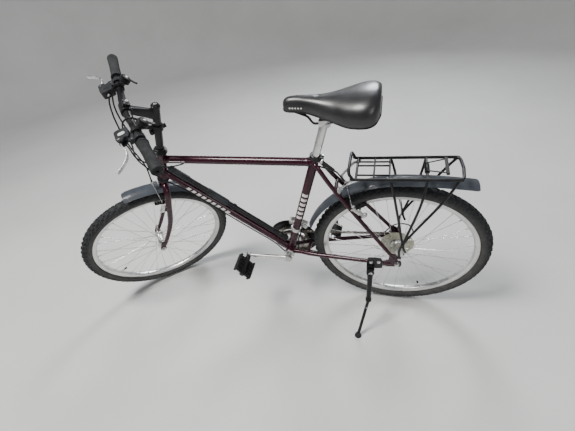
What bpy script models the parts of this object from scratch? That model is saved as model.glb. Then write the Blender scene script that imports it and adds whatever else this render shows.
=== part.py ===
"""A touring bicycle with a rear rack, mudguards and a frame pump, leaning on its side stand.

Lengths are metres. The bicycle is drawn upright from its rear axle: +X to its rear, +Y to its
right (the chain side) and +Z up. Empties then lean it on the stand and turn the steering.
"""
import bmesh
import bpy
from math import atan2, cos, pi, radians, sin, sqrt
from mathutils import Matrix, Quaternion, Vector

# ---- driving dimensions -------------------------------------------------------------------
WHEEL_R = 0.330
TYRE_HALF = 0.025
WHEELBASE = 1.076
BB_BACK = 0.435
BB_DROP = 0.032
SEAT_ANGLE = radians(71.0)
HEAD_ANGLE = radians(68.3)
FORK_RAKE = 0.0427
CROWN_RACE = 0.388
HEAD_TUBE_LEN = 0.124
STACK = 0.012
SEAT_TUBE_LEN = 0.510
LEAN = radians(9.0)
NOSE_DOWN = radians(0.402)
STEER = radians(40.7)
CRANK_ANGLE = radians(6.5)
CRANK_LEN = 0.170
DATUM_X = 0.50504
DATUM_Y = 0.13625
GROUND_TO_LINE = 0.02313
GAP = 0.0003

# ---- derived points -----------------------------------------------------------------------
UP = Vector((0.0, 0.0, 1.0))
SIDE = Vector((0.0, 1.0, 0.0))
BACK = Vector((1.0, 0.0, 0.0))
STEER_UP = Vector((cos(HEAD_ANGLE), 0.0, sin(HEAD_ANGLE)))
STEER_BACK = Vector((sin(HEAD_ANGLE), 0.0, -cos(HEAD_ANGLE)))
FRONT_AXLE = Vector((-WHEELBASE, 0.0, 0.0))
STEER_FOOT = FRONT_AXLE + STEER_BACK * FORK_RAKE
BB = Vector((-BB_BACK, 0.0, -BB_DROP))
SEAT_UP = Vector((cos(SEAT_ANGLE), 0.0, sin(SEAT_ANGLE)))
SEAT_BACK = Vector((sin(SEAT_ANGLE), 0.0, -cos(SEAT_ANGLE)))


def on_steering(height, forward=0.0, y=0.0):
    """A point at a height along the steering axis, so far forward of it."""
    return STEER_FOOT + STEER_UP * height - STEER_BACK * forward + SIDE * y


def on_seat(height, back=0.0, y=0.0):
    """A point at a height along the seat tube, so far behind its centre line."""
    return BB + SEAT_UP * height + SEAT_BACK * back + SIDE * y


def mirrored(point, side):
    return Vector((point[0], point[1] * side, point[2]))


# ---- shapes: each is a list of points and a list of faces ----------------------------------
def loft(rings, closed=False):
    """Skin equal rings of points. Open skins get a flat face at each end."""
    n = len(rings[0])
    verts = [Vector(p) for ring in rings for p in ring]
    faces = []
    last = len(rings) if closed else len(rings) - 1
    for i in range(last):
        a = i * n
        b = ((i + 1) % len(rings)) * n
        for j in range(n):
            k = (j + 1) % n
            faces.append((a + j, a + k, b + k, b + j))
    if not closed:
        faces.append(tuple(range(n - 1, -1, -1)))
        faces.append(tuple(range((len(rings) - 1) * n, len(rings) * n)))
    return verts, faces


def frames(points, closed=False, start=None):
    """A pair of directions square to the path at each point, carried along without twisting."""
    pts = [Vector(p) for p in points]
    count = len(pts)
    result = []
    normal = None
    for i in range(count):
        if closed:
            before = pts[i] - pts[i - 1]
            after = pts[(i + 1) % count] - pts[i]
        else:
            before = pts[i] - pts[i - 1] if i > 0 else pts[1] - pts[0]
            after = pts[i + 1] - pts[i] if i < count - 1 else pts[i] - pts[i - 1]
        along = (before.normalized() + after.normalized()).normalized()
        if normal is None:
            normal = Vector(start) if start is not None else along.orthogonal()
        normal = (normal - along * normal.dot(along)).normalized()
        result.append((normal.copy(), along.cross(normal)))
    return result


def sweep(points, radius, sides=10, closed=False, flat=None, start=None):
    """A rod along a path. flat=(across, thick) makes a strap instead of a round rod."""
    pts = [Vector(p) for p in points]
    radii = radius if isinstance(radius, (list, tuple)) else [radius] * len(pts)
    rings = []
    for point, r, (u, v) in zip(pts, radii, frames(pts, closed, start)):
        if flat:
            a, b = flat[0] / 2, flat[1] / 2
            rings.append([point + u * x + v * y for x, y in ((-a, -b), (a, -b), (a, b), (-a, b))])
        else:
            rings.append([point + (u * cos(2 * pi * j / sides) + v * sin(2 * pi * j / sides)) * r
                          for j in range(sides)])
    return loft(rings, closed)


def rod(a, b, r, sides=10, r2=None):
    return sweep([a, b], [r, r if r2 is None else r2], sides)


def disc(centre, axis, inner, outer, thick, sides=24):
    """A flat ring, centred on a point."""
    h = thick / 2
    return turned(centre, axis, [(inner, -h), (outer, -h), (outer, h), (inner, h)], sides)


def turned(centre, axis, profile, sides=24, phase=0.0):
    """Turn a closed profile of (radius, distance along the axis) points. None touches the axis."""
    centre = Vector(centre)
    w = Vector(axis).normalized()
    u = UP.copy() if abs(w.dot(UP)) < 0.9 else BACK.copy()
    u = (u - w * u.dot(w)).normalized()
    v = w.cross(u)
    rings = []
    for i in range(sides):
        a = 2 * pi * (i + phase) / sides
        d = u * cos(a) + v * sin(a)
        rings.append([centre + d * r + w * h for r, h in profile])
    return loft(rings, closed=True)


def plate(outline, centre, u, v, thick):
    """A flat plate with an outline given along two directions, thickened evenly."""
    w = u.cross(v).normalized() * (thick / 2)
    ring = [Vector(centre) + u * a + v * b for a, b in outline]
    return loft([[p - w for p in ring], [p + w for p in ring]])


def block(centre, size, u=BACK, v=SIDE):
    a, b = size[0] / 2, size[1] / 2
    return plate([(-a, -b), (a, -b), (a, b), (-a, b)], centre, u, v, size[2])


def eight_corners(share):
    """The corners of a square cut to an octagon, each side keeping this share of its half width."""
    return ((-1, -share), (-share, -1), (share, -1), (1, -share), (1, share), (share, 1), (-share, 1),
            (-1, share))


def smooth_path(points, steps):
    """Points of a smooth curve through the given ones, with the ends kept."""
    pts = [Vector(p) for p in points]
    full = [pts[0] * 2 - pts[1]] + pts + [pts[-1] * 2 - pts[-2]]
    out = []
    for i in range(1, len(full) - 2):
        a, b, c, d = full[i - 1:i + 3]
        for k in range(steps):
            t = k / steps
            out.append(0.5 * ((2 * b) + (c - a) * t + (2 * a - 5 * b + 4 * c - d) * t * t
                              + (3 * b - a - 3 * c + d) * t ** 3))
    out.append(pts[-1])
    return out


# ---- materials ------------------------------------------------------------------------------
SLOTS = {
    "paint_maroon": ((0.16, 0.012, 0.035), 0.35, 0.25),
    "steel_silver": ((0.62, 0.62, 0.60), 1.0, 0.30),
    "alloy_black": ((0.025, 0.025, 0.028), 0.4, 0.35),
    "rubber_black": ((0.022, 0.022, 0.022), 0.0, 0.85),
    "plastic_grey": ((0.075, 0.085, 0.10), 0.0, 0.55),
    "plastic_black": ((0.02, 0.02, 0.022), 0.0, 0.45),
    "vinyl_black": ((0.018, 0.018, 0.02), 0.0, 0.35),
    "plastic_yellowed": ((0.55, 0.55, 0.36), 0.0, 0.40),
    "chain_steel": ((0.16, 0.14, 0.12), 1.0, 0.45),
}


def material(slot, name):
    colour, metal, rough = SLOTS[slot]
    mat = bpy.data.materials.new(slot if slot not in bpy.data.materials else slot + "_" + name)
    mat.use_nodes = True
    shader = mat.node_tree.nodes["Principled BSDF"]
    shader.inputs["Base Color"].default_value = (*colour, 1.0)
    shader.inputs["Metallic"].default_value = metal
    shader.inputs["Roughness"].default_value = rough
    mat.diffuse_color = (*colour, 1.0)
    return mat


# ---- objects --------------------------------------------------------------------------------
# where each empty's own origin lies in the bicycle's upright coordinates
DATUM_OF = {}


def raw_object(name, shape):
    mesh = bpy.data.meshes.new(name)
    mesh.from_pydata([tuple(p) for p in shape[0]], [], shape[1])
    mesh.validate()
    skin = bmesh.new()
    skin.from_mesh(mesh)
    bmesh.ops.recalc_face_normals(skin, faces=skin.faces)
    if skin.calc_volume(signed=True) < 0:
        bmesh.ops.reverse_faces(skin, faces=skin.faces)
    skin.to_mesh(mesh)
    skin.free()
    obj = bpy.data.objects.new(name, mesh)
    bpy.context.scene.collection.objects.link(obj)
    return obj


def combine(obj, shape, operation):
    """Join or cut one shape with the exact solver, and keep the result as the object's mesh."""
    other = raw_object("tool", shape)
    mod = obj.modifiers.new("join", "BOOLEAN")
    mod.operation = operation
    mod.solver = "EXACT"
    mod.object = other
    bpy.context.view_layer.update()
    graph = bpy.context.evaluated_depsgraph_get()
    result = bpy.data.meshes.new_from_object(obj.evaluated_get(graph))
    obj.modifiers.clear()
    obj.data = result
    bpy.data.objects.remove(other, do_unlink=True)


def piece(name, slot, shapes, cuts=(), parent=None, origin=(0.0, 0.0, 0.0)):
    """One solid: the shapes joined, less the cuts, with its origin where it turns."""
    obj = raw_object(name, shapes[0])
    for shape in shapes[1:]:
        combine(obj, shape, "UNION")
    for shape in cuts:
        combine(obj, shape, "DIFFERENCE")
    origin = Vector(origin)
    obj.data.transform(Matrix.Translation(-origin))
    obj.data.materials.clear()
    obj.data.materials.append(material(slot, name))
    obj.data.name = name
    obj.parent = parent
    obj.location = origin - DATUM_OF[parent.name]
    return obj


def empty(name, parent, origin):
    obj = bpy.data.objects.new(name, None)
    obj.empty_display_size = 0.03
    bpy.context.scene.collection.objects.link(obj)
    obj.parent = parent
    if parent is not None:
        obj.location = Vector(origin) - DATUM_OF[parent.name]
    DATUM_OF[name] = Vector(origin)
    return obj


# ---- wheels ---------------------------------------------------------------------------------
TYRE_PROFILE = [(0.2858, -0.0110), (0.3000, -0.0235), (0.3220, -0.0182), (0.3285, -0.0080),
                (0.3285, 0.0080), (0.3220, 0.0182), (0.3000, 0.0235), (0.2858, 0.0110)]
RIM_PROFILE = [(0.2682, -0.0060), (0.2715, -0.0120), (0.2855, -0.0125), (0.2855, 0.0125),
               (0.2715, 0.0120), (0.2682, 0.0060)]
RIM_FACE = 0.0125
WHEEL_SIDES = 32
SPOKES = 36
SPOKE_R = 0.0011
AXLE_R = 0.0050


def rim_and_tyre(end, centre, parent):
    piece(end + "_tyre", "rubber_black", [turned(centre, SIDE, TYRE_PROFILE, WHEEL_SIDES, 0.5)],
          parent=parent, origin=centre)
    piece(end + "_rim", "steel_silver", [turned(centre, SIDE, RIM_PROFILE, WHEEL_SIDES, 0.5)],
          parent=parent, origin=centre)


def hub(end, centre, left, right, flange_r, shell_r, parent):
    """Hub shell with two flanges and its laced spokes, bored for the axle."""
    bore = AXLE_R + 0.0008
    edge = 0.0035
    profile = [(bore, left - 0.004), (0.0125, left - 0.004), (flange_r, left - edge / 2),
               (flange_r, left + edge / 2), (shell_r, left + 0.006), (shell_r, right - 0.006),
               (flange_r, right - edge / 2), (flange_r, right + edge / 2),
               (0.0125, right + 0.004), (bore, right + 0.004)]
    shapes = [turned(centre, SIDE, profile, 12)]
    hole_r = flange_r - 0.003
    rim_r = RIM_PROFILE[0][0] * cos(pi / WHEEL_SIDES) - 2 * GAP
    for k in range(SPOKES):
        flange = left if k % 2 else right
        lead = 1 if (k // 2) % 2 else -1
        rim_angle = 2 * pi * k / SPOKES
        hub_angle = rim_angle + lead * radians(58.0)
        face = 0.0016 * lead
        a = Vector(centre) + Vector((hole_r * cos(hub_angle), flange + face, hole_r * sin(hub_angle)))
        b = Vector(centre) + Vector((rim_r * cos(rim_angle), flange * 0.05 + face, rim_r * sin(rim_angle)))
        shapes.append(rod(a, b, SPOKE_R, 3))
    return piece(end + "_hub_and_spokes", "steel_silver", shapes, parent=parent, origin=centre)


def axle(end, centre, half_drop, parent, left, right):
    """Axle with its cones and nuts. It stays with the fork ends while the wheel turns."""
    plate_out = half_drop + 0.0060
    tip = plate_out + 0.0120
    shapes = [rod(Vector(centre) - SIDE * tip, Vector(centre) + SIDE * tip, AXLE_R, 8)]
    for sign, flange in ((-1, left), (1, right)):
        inner = flange + sign * 0.0048
        outer = sign * (half_drop - GAP)
        shapes.append(rod(Vector(centre) + SIDE * inner, Vector(centre) + SIDE * outer, 0.0085, 8))
        nut = sign * (plate_out + GAP)
        shapes.append(rod(Vector(centre) + SIDE * nut, Vector(centre) + SIDE * (nut + sign * 0.0085),
                          0.0095, 6))
    return piece(end + "_axle", "steel_silver", shapes, parent=parent, origin=centre)


# ---- chain run ------------------------------------------------------------------------------
CHAIN_Y = 0.0402
PITCH = 0.0127


def pitch_r(teeth):
    return PITCH * teeth / (2 * pi)


def tangent(c1, r1, s1, c2, r2, s2):
    """Tangent points of a belt from one circle to the next. s=+1 turns anticlockwise."""
    d = (c2[0] - c1[0], c2[1] - c1[1])
    length = sqrt(d[0] ** 2 + d[1] ** 2)
    ux, uz = d[0] / length, d[1] / length
    k = (s1 * r1 - s2 * r2) / length
    h = sqrt(1 - k * k)
    nx, nz = ux * k + uz * h, uz * k - ux * h
    return ((c1[0] + nx * s1 * r1, c1[1] + nz * s1 * r1), (c2[0] + nx * s2 * r2, c2[1] + nz * s2 * r2))


def belt(circles, step):
    """The closed path of a belt around circles of (x, z, radius, sense)."""
    runs = []
    n = len(circles)
    for i in range(n):
        a, b = circles[i], circles[(i + 1) % n]
        runs.append(tangent(a[:2], a[2], a[3], b[:2], b[2], b[3]))
    path = []
    for i in range(n):
        x, z, r, sense = circles[i]
        enter = runs[i - 1][1]
        leave = runs[i][0]
        a0 = atan2(enter[1] - z, enter[0] - x)
        a1 = atan2(leave[1] - z, leave[0] - x)
        turn = (a1 - a0) * sense % (2 * pi)
        count = max(1, round(turn / step))
        for k in range(count + 1):
            a = a0 + sense * turn * k / count
            path.append((x + r * cos(a), z + r * sin(a)))
    return path


# ---- frame ----------------------------------------------------------------------------------
HEAD_LOW = CROWN_RACE + STACK
HEAD_HIGH = HEAD_LOW + HEAD_TUBE_LEN
STAY_Y = 0.0705
TOP_TUBE = (on_steering(HEAD_HIGH - 0.0318, -0.004), on_seat(SEAT_TUBE_LEN - 0.030))
DOWN_TUBE = (on_steering(HEAD_LOW + 0.0337, -0.004), BB + Vector((-0.004, 0.0, 0.004)))
TOP_TUBE_R = 0.0143
DOWN_TUBE_R = 0.0159
SEAT_TUBE_R = 0.0156
HEAD_BORE = 0.0150
POST_BORE = 0.0139
SPINDLE_BORE = 0.0100
DROP_IN = 0.0675
DROP_THICK = 0.0060
BOSS_RADIUS_POS = 0.253
STAY_LOW = Vector((-0.014, 0.0, 0.030))
STAY_HIGH = on_seat(SEAT_TUBE_LEN - 0.030)
STAY_DIR = (STAY_HIGH - STAY_LOW).normalized()
STAY_NORMAL = Vector((STAY_DIR.z, 0.0, -STAY_DIR.x))
BOSS_Y = 0.0440
REAR_COLLAR = 0.0135
FRONT_COLLAR = 0.0160
COLLAR_R = 0.0070
STUD_R = 0.0040
STUD_ROOT = 0.0020
BRIDGE_AT = 0.388
BRIDGE_Y = 0.031
STAY_BRIDGE_X = -0.352


def stay_point(distance, normal=0.0, y=0.0):
    """A point so far up the seat stays from the axle, and so far behind them."""
    return STAY_LOW + STAY_DIR * (distance - STAY_LOW.length) + STAY_NORMAL * normal + SIDE * y


def build_frame(parent):
    head = rod(on_steering(HEAD_LOW), on_steering(HEAD_HIGH), 0.0185, 14)
    shapes = [head, rod(TOP_TUBE[0], TOP_TUBE[1], TOP_TUBE_R, 12),
              rod(DOWN_TUBE[0], DOWN_TUBE[1], DOWN_TUBE_R, 12),
              rod(on_seat(0.004), on_seat(SEAT_TUBE_LEN), SEAT_TUBE_R, 12),
              rod(BB - SIDE * 0.034, BB + SIDE * 0.034, 0.0205, 14)]
    for side in (-1, 1):
        stay = [(-0.420, 0.0215, -0.031), (-0.385, 0.0262, -0.029), (-0.335, 0.0365, -0.026),
                (-0.220, 0.0500, -0.018), (-0.100, 0.0630, -0.010), (-0.022, STAY_Y, -0.003)]
        radii = [0.0090, 0.0088, 0.0085, 0.0085, 0.0078, 0.0070]
        shapes.append(sweep([mirrored(p, side) for p in stay], radii, 8))
        upper = [on_seat(SEAT_TUBE_LEN - 0.028, 0.004, 0.0130),
                 on_seat(SEAT_TUBE_LEN - 0.036, 0.020, 0.0225),
                 stay_point(0.400, 0.0, 0.0320), stay_point(0.250, 0.0, 0.0505),
                 stay_point(0.090, 0.0, 0.0660), Vector((-0.012, STAY_Y, 0.026))]
        radii = [0.0078, 0.0078, 0.0078, 0.0075, 0.0070, 0.0065]
        shapes.append(sweep([mirrored(p, side) for p in upper], radii, 8))
        outline = [(-0.052, -0.014), (-0.018, -0.022), (0.012, -0.020), (0.017, -0.004), (0.012, 0.014),
                   (0.000, 0.040), (-0.022, 0.052), (-0.030, 0.022)]
        shapes.append(plate(outline, SIDE * (side * (DROP_IN + DROP_THICK / 2)), BACK, UP, DROP_THICK))
        boss = stay_point(BOSS_RADIUS_POS, 0.0, side * BOSS_Y)
        shapes.append(rod(boss, boss + STAY_NORMAL * REAR_COLLAR, COLLAR_R, 8))
        stud_tip = boss + STAY_NORMAL * (REAR_COLLAR + 0.0195)
        shapes.append(rod(boss + STAY_NORMAL * STUD_ROOT, stud_tip, STUD_R, 8))
    bridge = (stay_point(BRIDGE_AT, 0.0, -BRIDGE_Y), stay_point(BRIDGE_AT, 0.0, BRIDGE_Y))
    shapes.append(rod(bridge[0], bridge[1], 0.0065, 10))
    shapes.append(rod((STAY_BRIDGE_X, -0.0330, -0.027), (STAY_BRIDGE_X, 0.0330, -0.027), 0.0060, 10))
    cuts = [rod(on_steering(HEAD_LOW - 0.01), on_steering(HEAD_HIGH + 0.01), HEAD_BORE, 12),
            rod(on_seat(SEAT_TUBE_LEN - 0.200), on_seat(SEAT_TUBE_LEN + 0.02), POST_BORE, 12),
            rod(BB - SIDE * 0.06, BB + SIDE * 0.06, SPINDLE_BORE, 14)]
    slot = AXLE_R + GAP
    cuts.append(rod(SIDE * -0.12, SIDE * 0.12, slot, 14))
    cuts.append(block((0.004, 0.0, -0.020), (2 * slot, 0.24, 0.040),
                      Vector((cos(0.25), 0.0, sin(0.25))), SIDE))
    return piece("frame", "paint_maroon", shapes, cuts, parent)


CUP_BORE = 0.0142


def build_headset(parent):
    low = [(CUP_BORE, 0.0), (0.0215, 0.0), (0.0235, 0.004), (0.0215, STACK - GAP), (CUP_BORE, STACK - GAP)]
    high = [(CUP_BORE, GAP), (0.0225, GAP), (0.0255, 0.006), (0.0240, 0.013), (0.0185, 0.020),
            (CUP_BORE, 0.020)]
    piece("headset_lower_cup", "alloy_black", [turned(on_steering(CROWN_RACE), STEER_UP, low, 20)],
          parent=parent)
    piece("headset_upper_cup", "alloy_black", [turned(on_steering(HEAD_HIGH), STEER_UP, high, 20)],
          parent=parent)


POST_R = 0.0134
POST_TOP = 0.662
RAIL_R = 0.0035
RAIL_Y = 0.0225


def build_seat(parent, post_parent):
    bore = (SEAT_TUBE_R + GAP) / cos(pi / 20)
    collar = [(bore, -0.0065), (0.0200, -0.0065), (0.0200, 0.0065), (bore, 0.0065)]
    height = SEAT_TUBE_LEN - 0.0065
    centre = on_seat(height)
    lug = block(on_seat(height, 0.0225), (0.010, 0.016, 0.012), SEAT_BACK, SIDE)
    bolt_a = on_seat(height, 0.0235, 0.016)
    bolt_b = on_seat(height, 0.0235, -0.020)
    lever = [bolt_b + SIDE * 0.002, bolt_b + SEAT_BACK * 0.022 - SEAT_UP * 0.008,
             bolt_b + SEAT_BACK * 0.046 - SEAT_UP * 0.020]
    piece("seat_clamp", "alloy_black",
          [turned(centre, SEAT_UP, collar, 20), lug, rod(bolt_a, bolt_b, 0.0035, 8),
           sweep(lever, 0.0, flat=(0.011, 0.005), start=SEAT_UP)], parent=parent)
    head_low = on_seat(POST_TOP - 0.026)
    clamp = [rod(on_seat(SEAT_TUBE_LEN - 0.110), on_seat(POST_TOP), POST_R, 16),
             rod(head_low - SEAT_UP * 0.012, head_low + SEAT_UP * 0.012, 0.0185, 16)]
    saddle_at = on_seat(POST_TOP - 0.018)
    for side in (-1, 1):
        clamp.append(block(saddle_at + SIDE * (side * 0.0190), (0.034, 0.017, 0.020)))
    bolt_at = saddle_at + SEAT_BACK * 0.012
    clamp.append(rod(bolt_at - SIDE * 0.031, bolt_at + SIDE * 0.031, 0.0035, 8))
    grooves = []
    rail_z = saddle_at.z + 0.002
    for side in (-1, 1):
        groove = Vector((saddle_at.x, side * RAIL_Y, rail_z))
        grooves.append(rod(groove - BACK * 0.05, groove + BACK * 0.05, RAIL_R + GAP, 10))
    piece("seat_post", "steel_silver", clamp, grooves, post_parent)
    rails = []
    for side in (-1, 1):
        path = [(-0.318, side * 0.0085, 0.6134), (-0.296, side * 0.0120, 0.6060),
                (-0.272, side * 0.0190, 0.5985), (-0.256, side * RAIL_Y, rail_z),
                (-0.150, side * RAIL_Y, rail_z),
                (-0.122, side * 0.0330, rail_z + 0.006), (-0.108, side * 0.0400, 0.6010)]
        rails.append(sweep(path, RAIL_R, 8))
    rails.append(rod((-0.316, -0.010, 0.6124), (-0.316, 0.010, 0.6124), RAIL_R, 8))
    rails.append(rod((-0.110, -0.042, 0.6005), (-0.110, 0.042, 0.6005), RAIL_R, 8))
    piece("saddle_rails", "chain_steel", rails, parent=post_parent)
    piece("saddle_cushion", "vinyl_black", [saddle_shape()], parent=post_parent)


SADDLE_STATIONS = (
    # x, half width, top, crown above the edge, underside
    (-0.3440, 0.0080, 0.6390, 0.002, 0.6220), (-0.3400, 0.0150, 0.6470, 0.004, 0.6190),
    (-0.3280, 0.0200, 0.6545, 0.006, 0.6180), (-0.3000, 0.0225, 0.6570, 0.008, 0.6170),
    (-0.2650, 0.0275, 0.6550, 0.009, 0.6130), (-0.2300, 0.0390, 0.6535, 0.010, 0.6070),
    (-0.1950, 0.0560, 0.6550, 0.012, 0.6040), (-0.1600, 0.0755, 0.6600, 0.013, 0.6030),
    (-0.1250, 0.0880, 0.6665, 0.013, 0.6045), (-0.0980, 0.0890, 0.6700, 0.012, 0.6065),
    (-0.0790, 0.0780, 0.6695, 0.010, 0.6110), (-0.0670, 0.0540, 0.6650, 0.006, 0.6200))
SKIRT_DROP = 0.014


def saddle_shape():
    rings = []
    for x, half, top, crown, low in SADDLE_STATIONS:
        skirt = low - SKIRT_DROP * min(1.0, half / 0.08)
        waist = (low + top) / 2 - 0.004
        right = [(0.60, top - crown * 0.30), (0.93, top - crown), (1.0, waist), (1.0, skirt), (0.92, low)]
        ring = [(-half * a, z) for a, z in reversed(right)] + [(0.0, top)]
        ring += [(half * a, z) for a, z in right] + [(0.0, low)]
        rings.append([Vector((x, y, z)) for y, z in ring])
    return loft(rings)


# ---- fork and steering ----------------------------------------------------------------------
FORK_IN = 0.0500
FORK_PLATE = 0.0055
FRONT_BOSS = 0.253


def leg_forward(height):
    """How far the raked leg is in front of the steering axis."""
    if height > 0.20:
        return 0.0
    return FORK_RAKE * (1.0 - height / 0.20) ** 1.6


def build_fork(parent, origin):
    shapes = [rod(on_steering(CROWN_RACE - 0.030), on_steering(CROWN_RACE - GAP), 0.0185, 16),
              rod(on_steering(CROWN_RACE - 0.025), on_steering(HEAD_HIGH + 0.036), 0.0127, 12)]
    for side in (-1, 1):
        path = [on_steering(0.3700, 0.0, side * 0.006), on_steering(0.3680, 0.0, side * 0.0240),
                on_steering(0.3560, 0.0, side * 0.0400), on_steering(0.3350, 0.0, side * 0.0480),
                on_steering(0.2800, 0.0, side * 0.0510)]
        radii = [0.0125, 0.0128, 0.0130, 0.0128, 0.0122]
        for height, r in ((0.20, 0.0112), (0.15, 0.0105), (0.10, 0.0096), (0.055, 0.0088), (0.024, 0.0080)):
            path.append(on_steering(height, leg_forward(height), side * 0.0530))
            radii.append(r)
        shapes.append(sweep(path, radii, 8, start=SIDE))
        foot = on_steering(0.0, FORK_RAKE, side * (FORK_IN + FORK_PLATE / 2))
        outline = [(-0.012, -0.012), (0.012, -0.012), (0.013, 0.004), (0.010, 0.040), (-0.006, 0.040),
                   (-0.013, 0.004)]
        shapes.append(plate(outline, foot, STEER_BACK, STEER_UP, FORK_PLATE))
        boss = on_steering(FRONT_BOSS, 0.0, side * BOSS_Y)
        shapes.append(rod(boss, boss - STEER_BACK * FRONT_COLLAR, COLLAR_R, 8))
        stud_tip = boss - STEER_BACK * (FRONT_COLLAR + 0.0200)
        shapes.append(rod(boss - STEER_BACK * STUD_ROOT, stud_tip, STUD_R, 8))
    slot = AXLE_R + GAP
    cuts = [rod(FRONT_AXLE - SIDE * 0.12, FRONT_AXLE + SIDE * 0.12, slot, 14),
            block(on_steering(-0.020, FORK_RAKE), (2 * slot, 0.24, 0.040), STEER_BACK, SIDE)]
    piece("fork", "paint_maroon", shapes, cuts, parent, origin)


BAR_C = on_steering(CROWN_RACE + 2 * STACK + HEAD_TUBE_LEN + 0.180, 0.089)
BAR_R = 0.0111
BULGE_R = 0.0130
BAR_HALF = 0.298
QUILL_TOP = 0.716


def bar_point(y):
    """A point on the centre line of the handlebar."""
    ends = max(0.0, (abs(y) - 0.05) / (BAR_HALF - 0.05))
    return BAR_C + STEER_BACK * (0.018 * ends) + STEER_UP * (0.0067 * ends) + SIDE * y


def bar_dir(y):
    return (bar_point(y + 0.002) - bar_point(y - 0.002)).normalized()


def build_cockpit(parent, origin):
    quill_low = on_steering(HEAD_HIGH + 0.0370)
    elbow = on_steering(0.686)
    reach = (BAR_C - elbow).normalized()
    lift = reach.cross(SIDE).normalized()
    rings = []
    # share of the way from quill to bar, width, height of the arm's eight-cornered section
    arm_sections = ((0.0, 0.022, 0.040), (0.35, 0.022, 0.032), (0.80, 0.026, 0.026), (0.90, 0.028, 0.026))
    for t, wide, high in arm_sections:
        p = elbow.lerp(BAR_C, t)
        rings.append([p + SIDE * (wide / 2 * a) + lift * (high / 2 * b) for a, b in eight_corners(0.55)])
    cap = [(0.001, -0.002), (0.0152, -0.002), (0.0152, 0.004), (0.011, 0.0085), (0.001, 0.0105)]
    stem = [rod(quill_low, on_steering(QUILL_TOP), 0.0135, 16), loft(rings),
            rod(BAR_C - SIDE * 0.021, BAR_C + SIDE * 0.021, 0.0185, 18),
            rod(on_steering(QUILL_TOP - 0.004), on_steering(QUILL_TOP + 0.004), 0.0152, 16),
            rod(on_steering(QUILL_TOP + 0.003), on_steering(QUILL_TOP + 0.010), 0.0140, 16, 0.0090),
            block(BAR_C - lift * 0.0200 + reach * 0.004, (0.020, 0.026, 0.012), reach, SIDE),
            rod(BAR_C - lift * 0.0240 + reach * 0.004, BAR_C - lift * 0.0320 + reach * 0.004, 0.0042, 8)]
    clamp_bore = rod(BAR_C - SIDE * 0.05, BAR_C + SIDE * 0.05, BULGE_R + GAP, 20)
    piece("stem", "alloy_black", stem, [clamp_bore], parent, origin)
    stations = [-BAR_HALF, -0.075, -0.050, 0.050, 0.075, BAR_HALF]
    radii = [BAR_R, BAR_R, BULGE_R, BULGE_R, BAR_R, BAR_R]
    piece("handlebar", "alloy_black", [sweep([bar_point(y) for y in stations], radii, 14)], parent=parent,
          origin=origin)
    for side, label in ((-1, "left"), (1, "right")):
        build_controls(side, label, parent, origin)
    # ring clamp on the quill with a short carrier arm
    ring_at = on_steering(0.636)
    ring = [(0.0142, -0.010), (0.0185, -0.010), (0.0185, 0.010), (0.0142, 0.010)]
    arm = [on_steering(0.636, 0.017), on_steering(0.646, 0.040, -0.006), on_steering(0.664, 0.066, -0.026)]
    tail = [on_steering(0.636, -0.0165), on_steering(0.640, -0.028)]
    piece("quill_bracket", "alloy_black",
          [turned(ring_at, STEER_UP, ring, 16), sweep(arm, 0.0, flat=(0.016, 0.007), start=STEER_UP),
           sweep(tail, 0.0, flat=(0.014, 0.010), start=SIDE),
           rod(on_steering(0.618, 0.0215, -0.010), on_steering(0.618, 0.0215, 0.010), 0.0075, 10),
           rod(on_steering(0.618, 0.0215), on_steering(0.634, 0.0185), 0.0040, 8)],
          parent=parent, origin=origin)


GRIP_R = 0.0165
GRIP_IN = 0.176
LEVER_Y = 0.1500
SHIFT_Y = 0.1180


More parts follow.
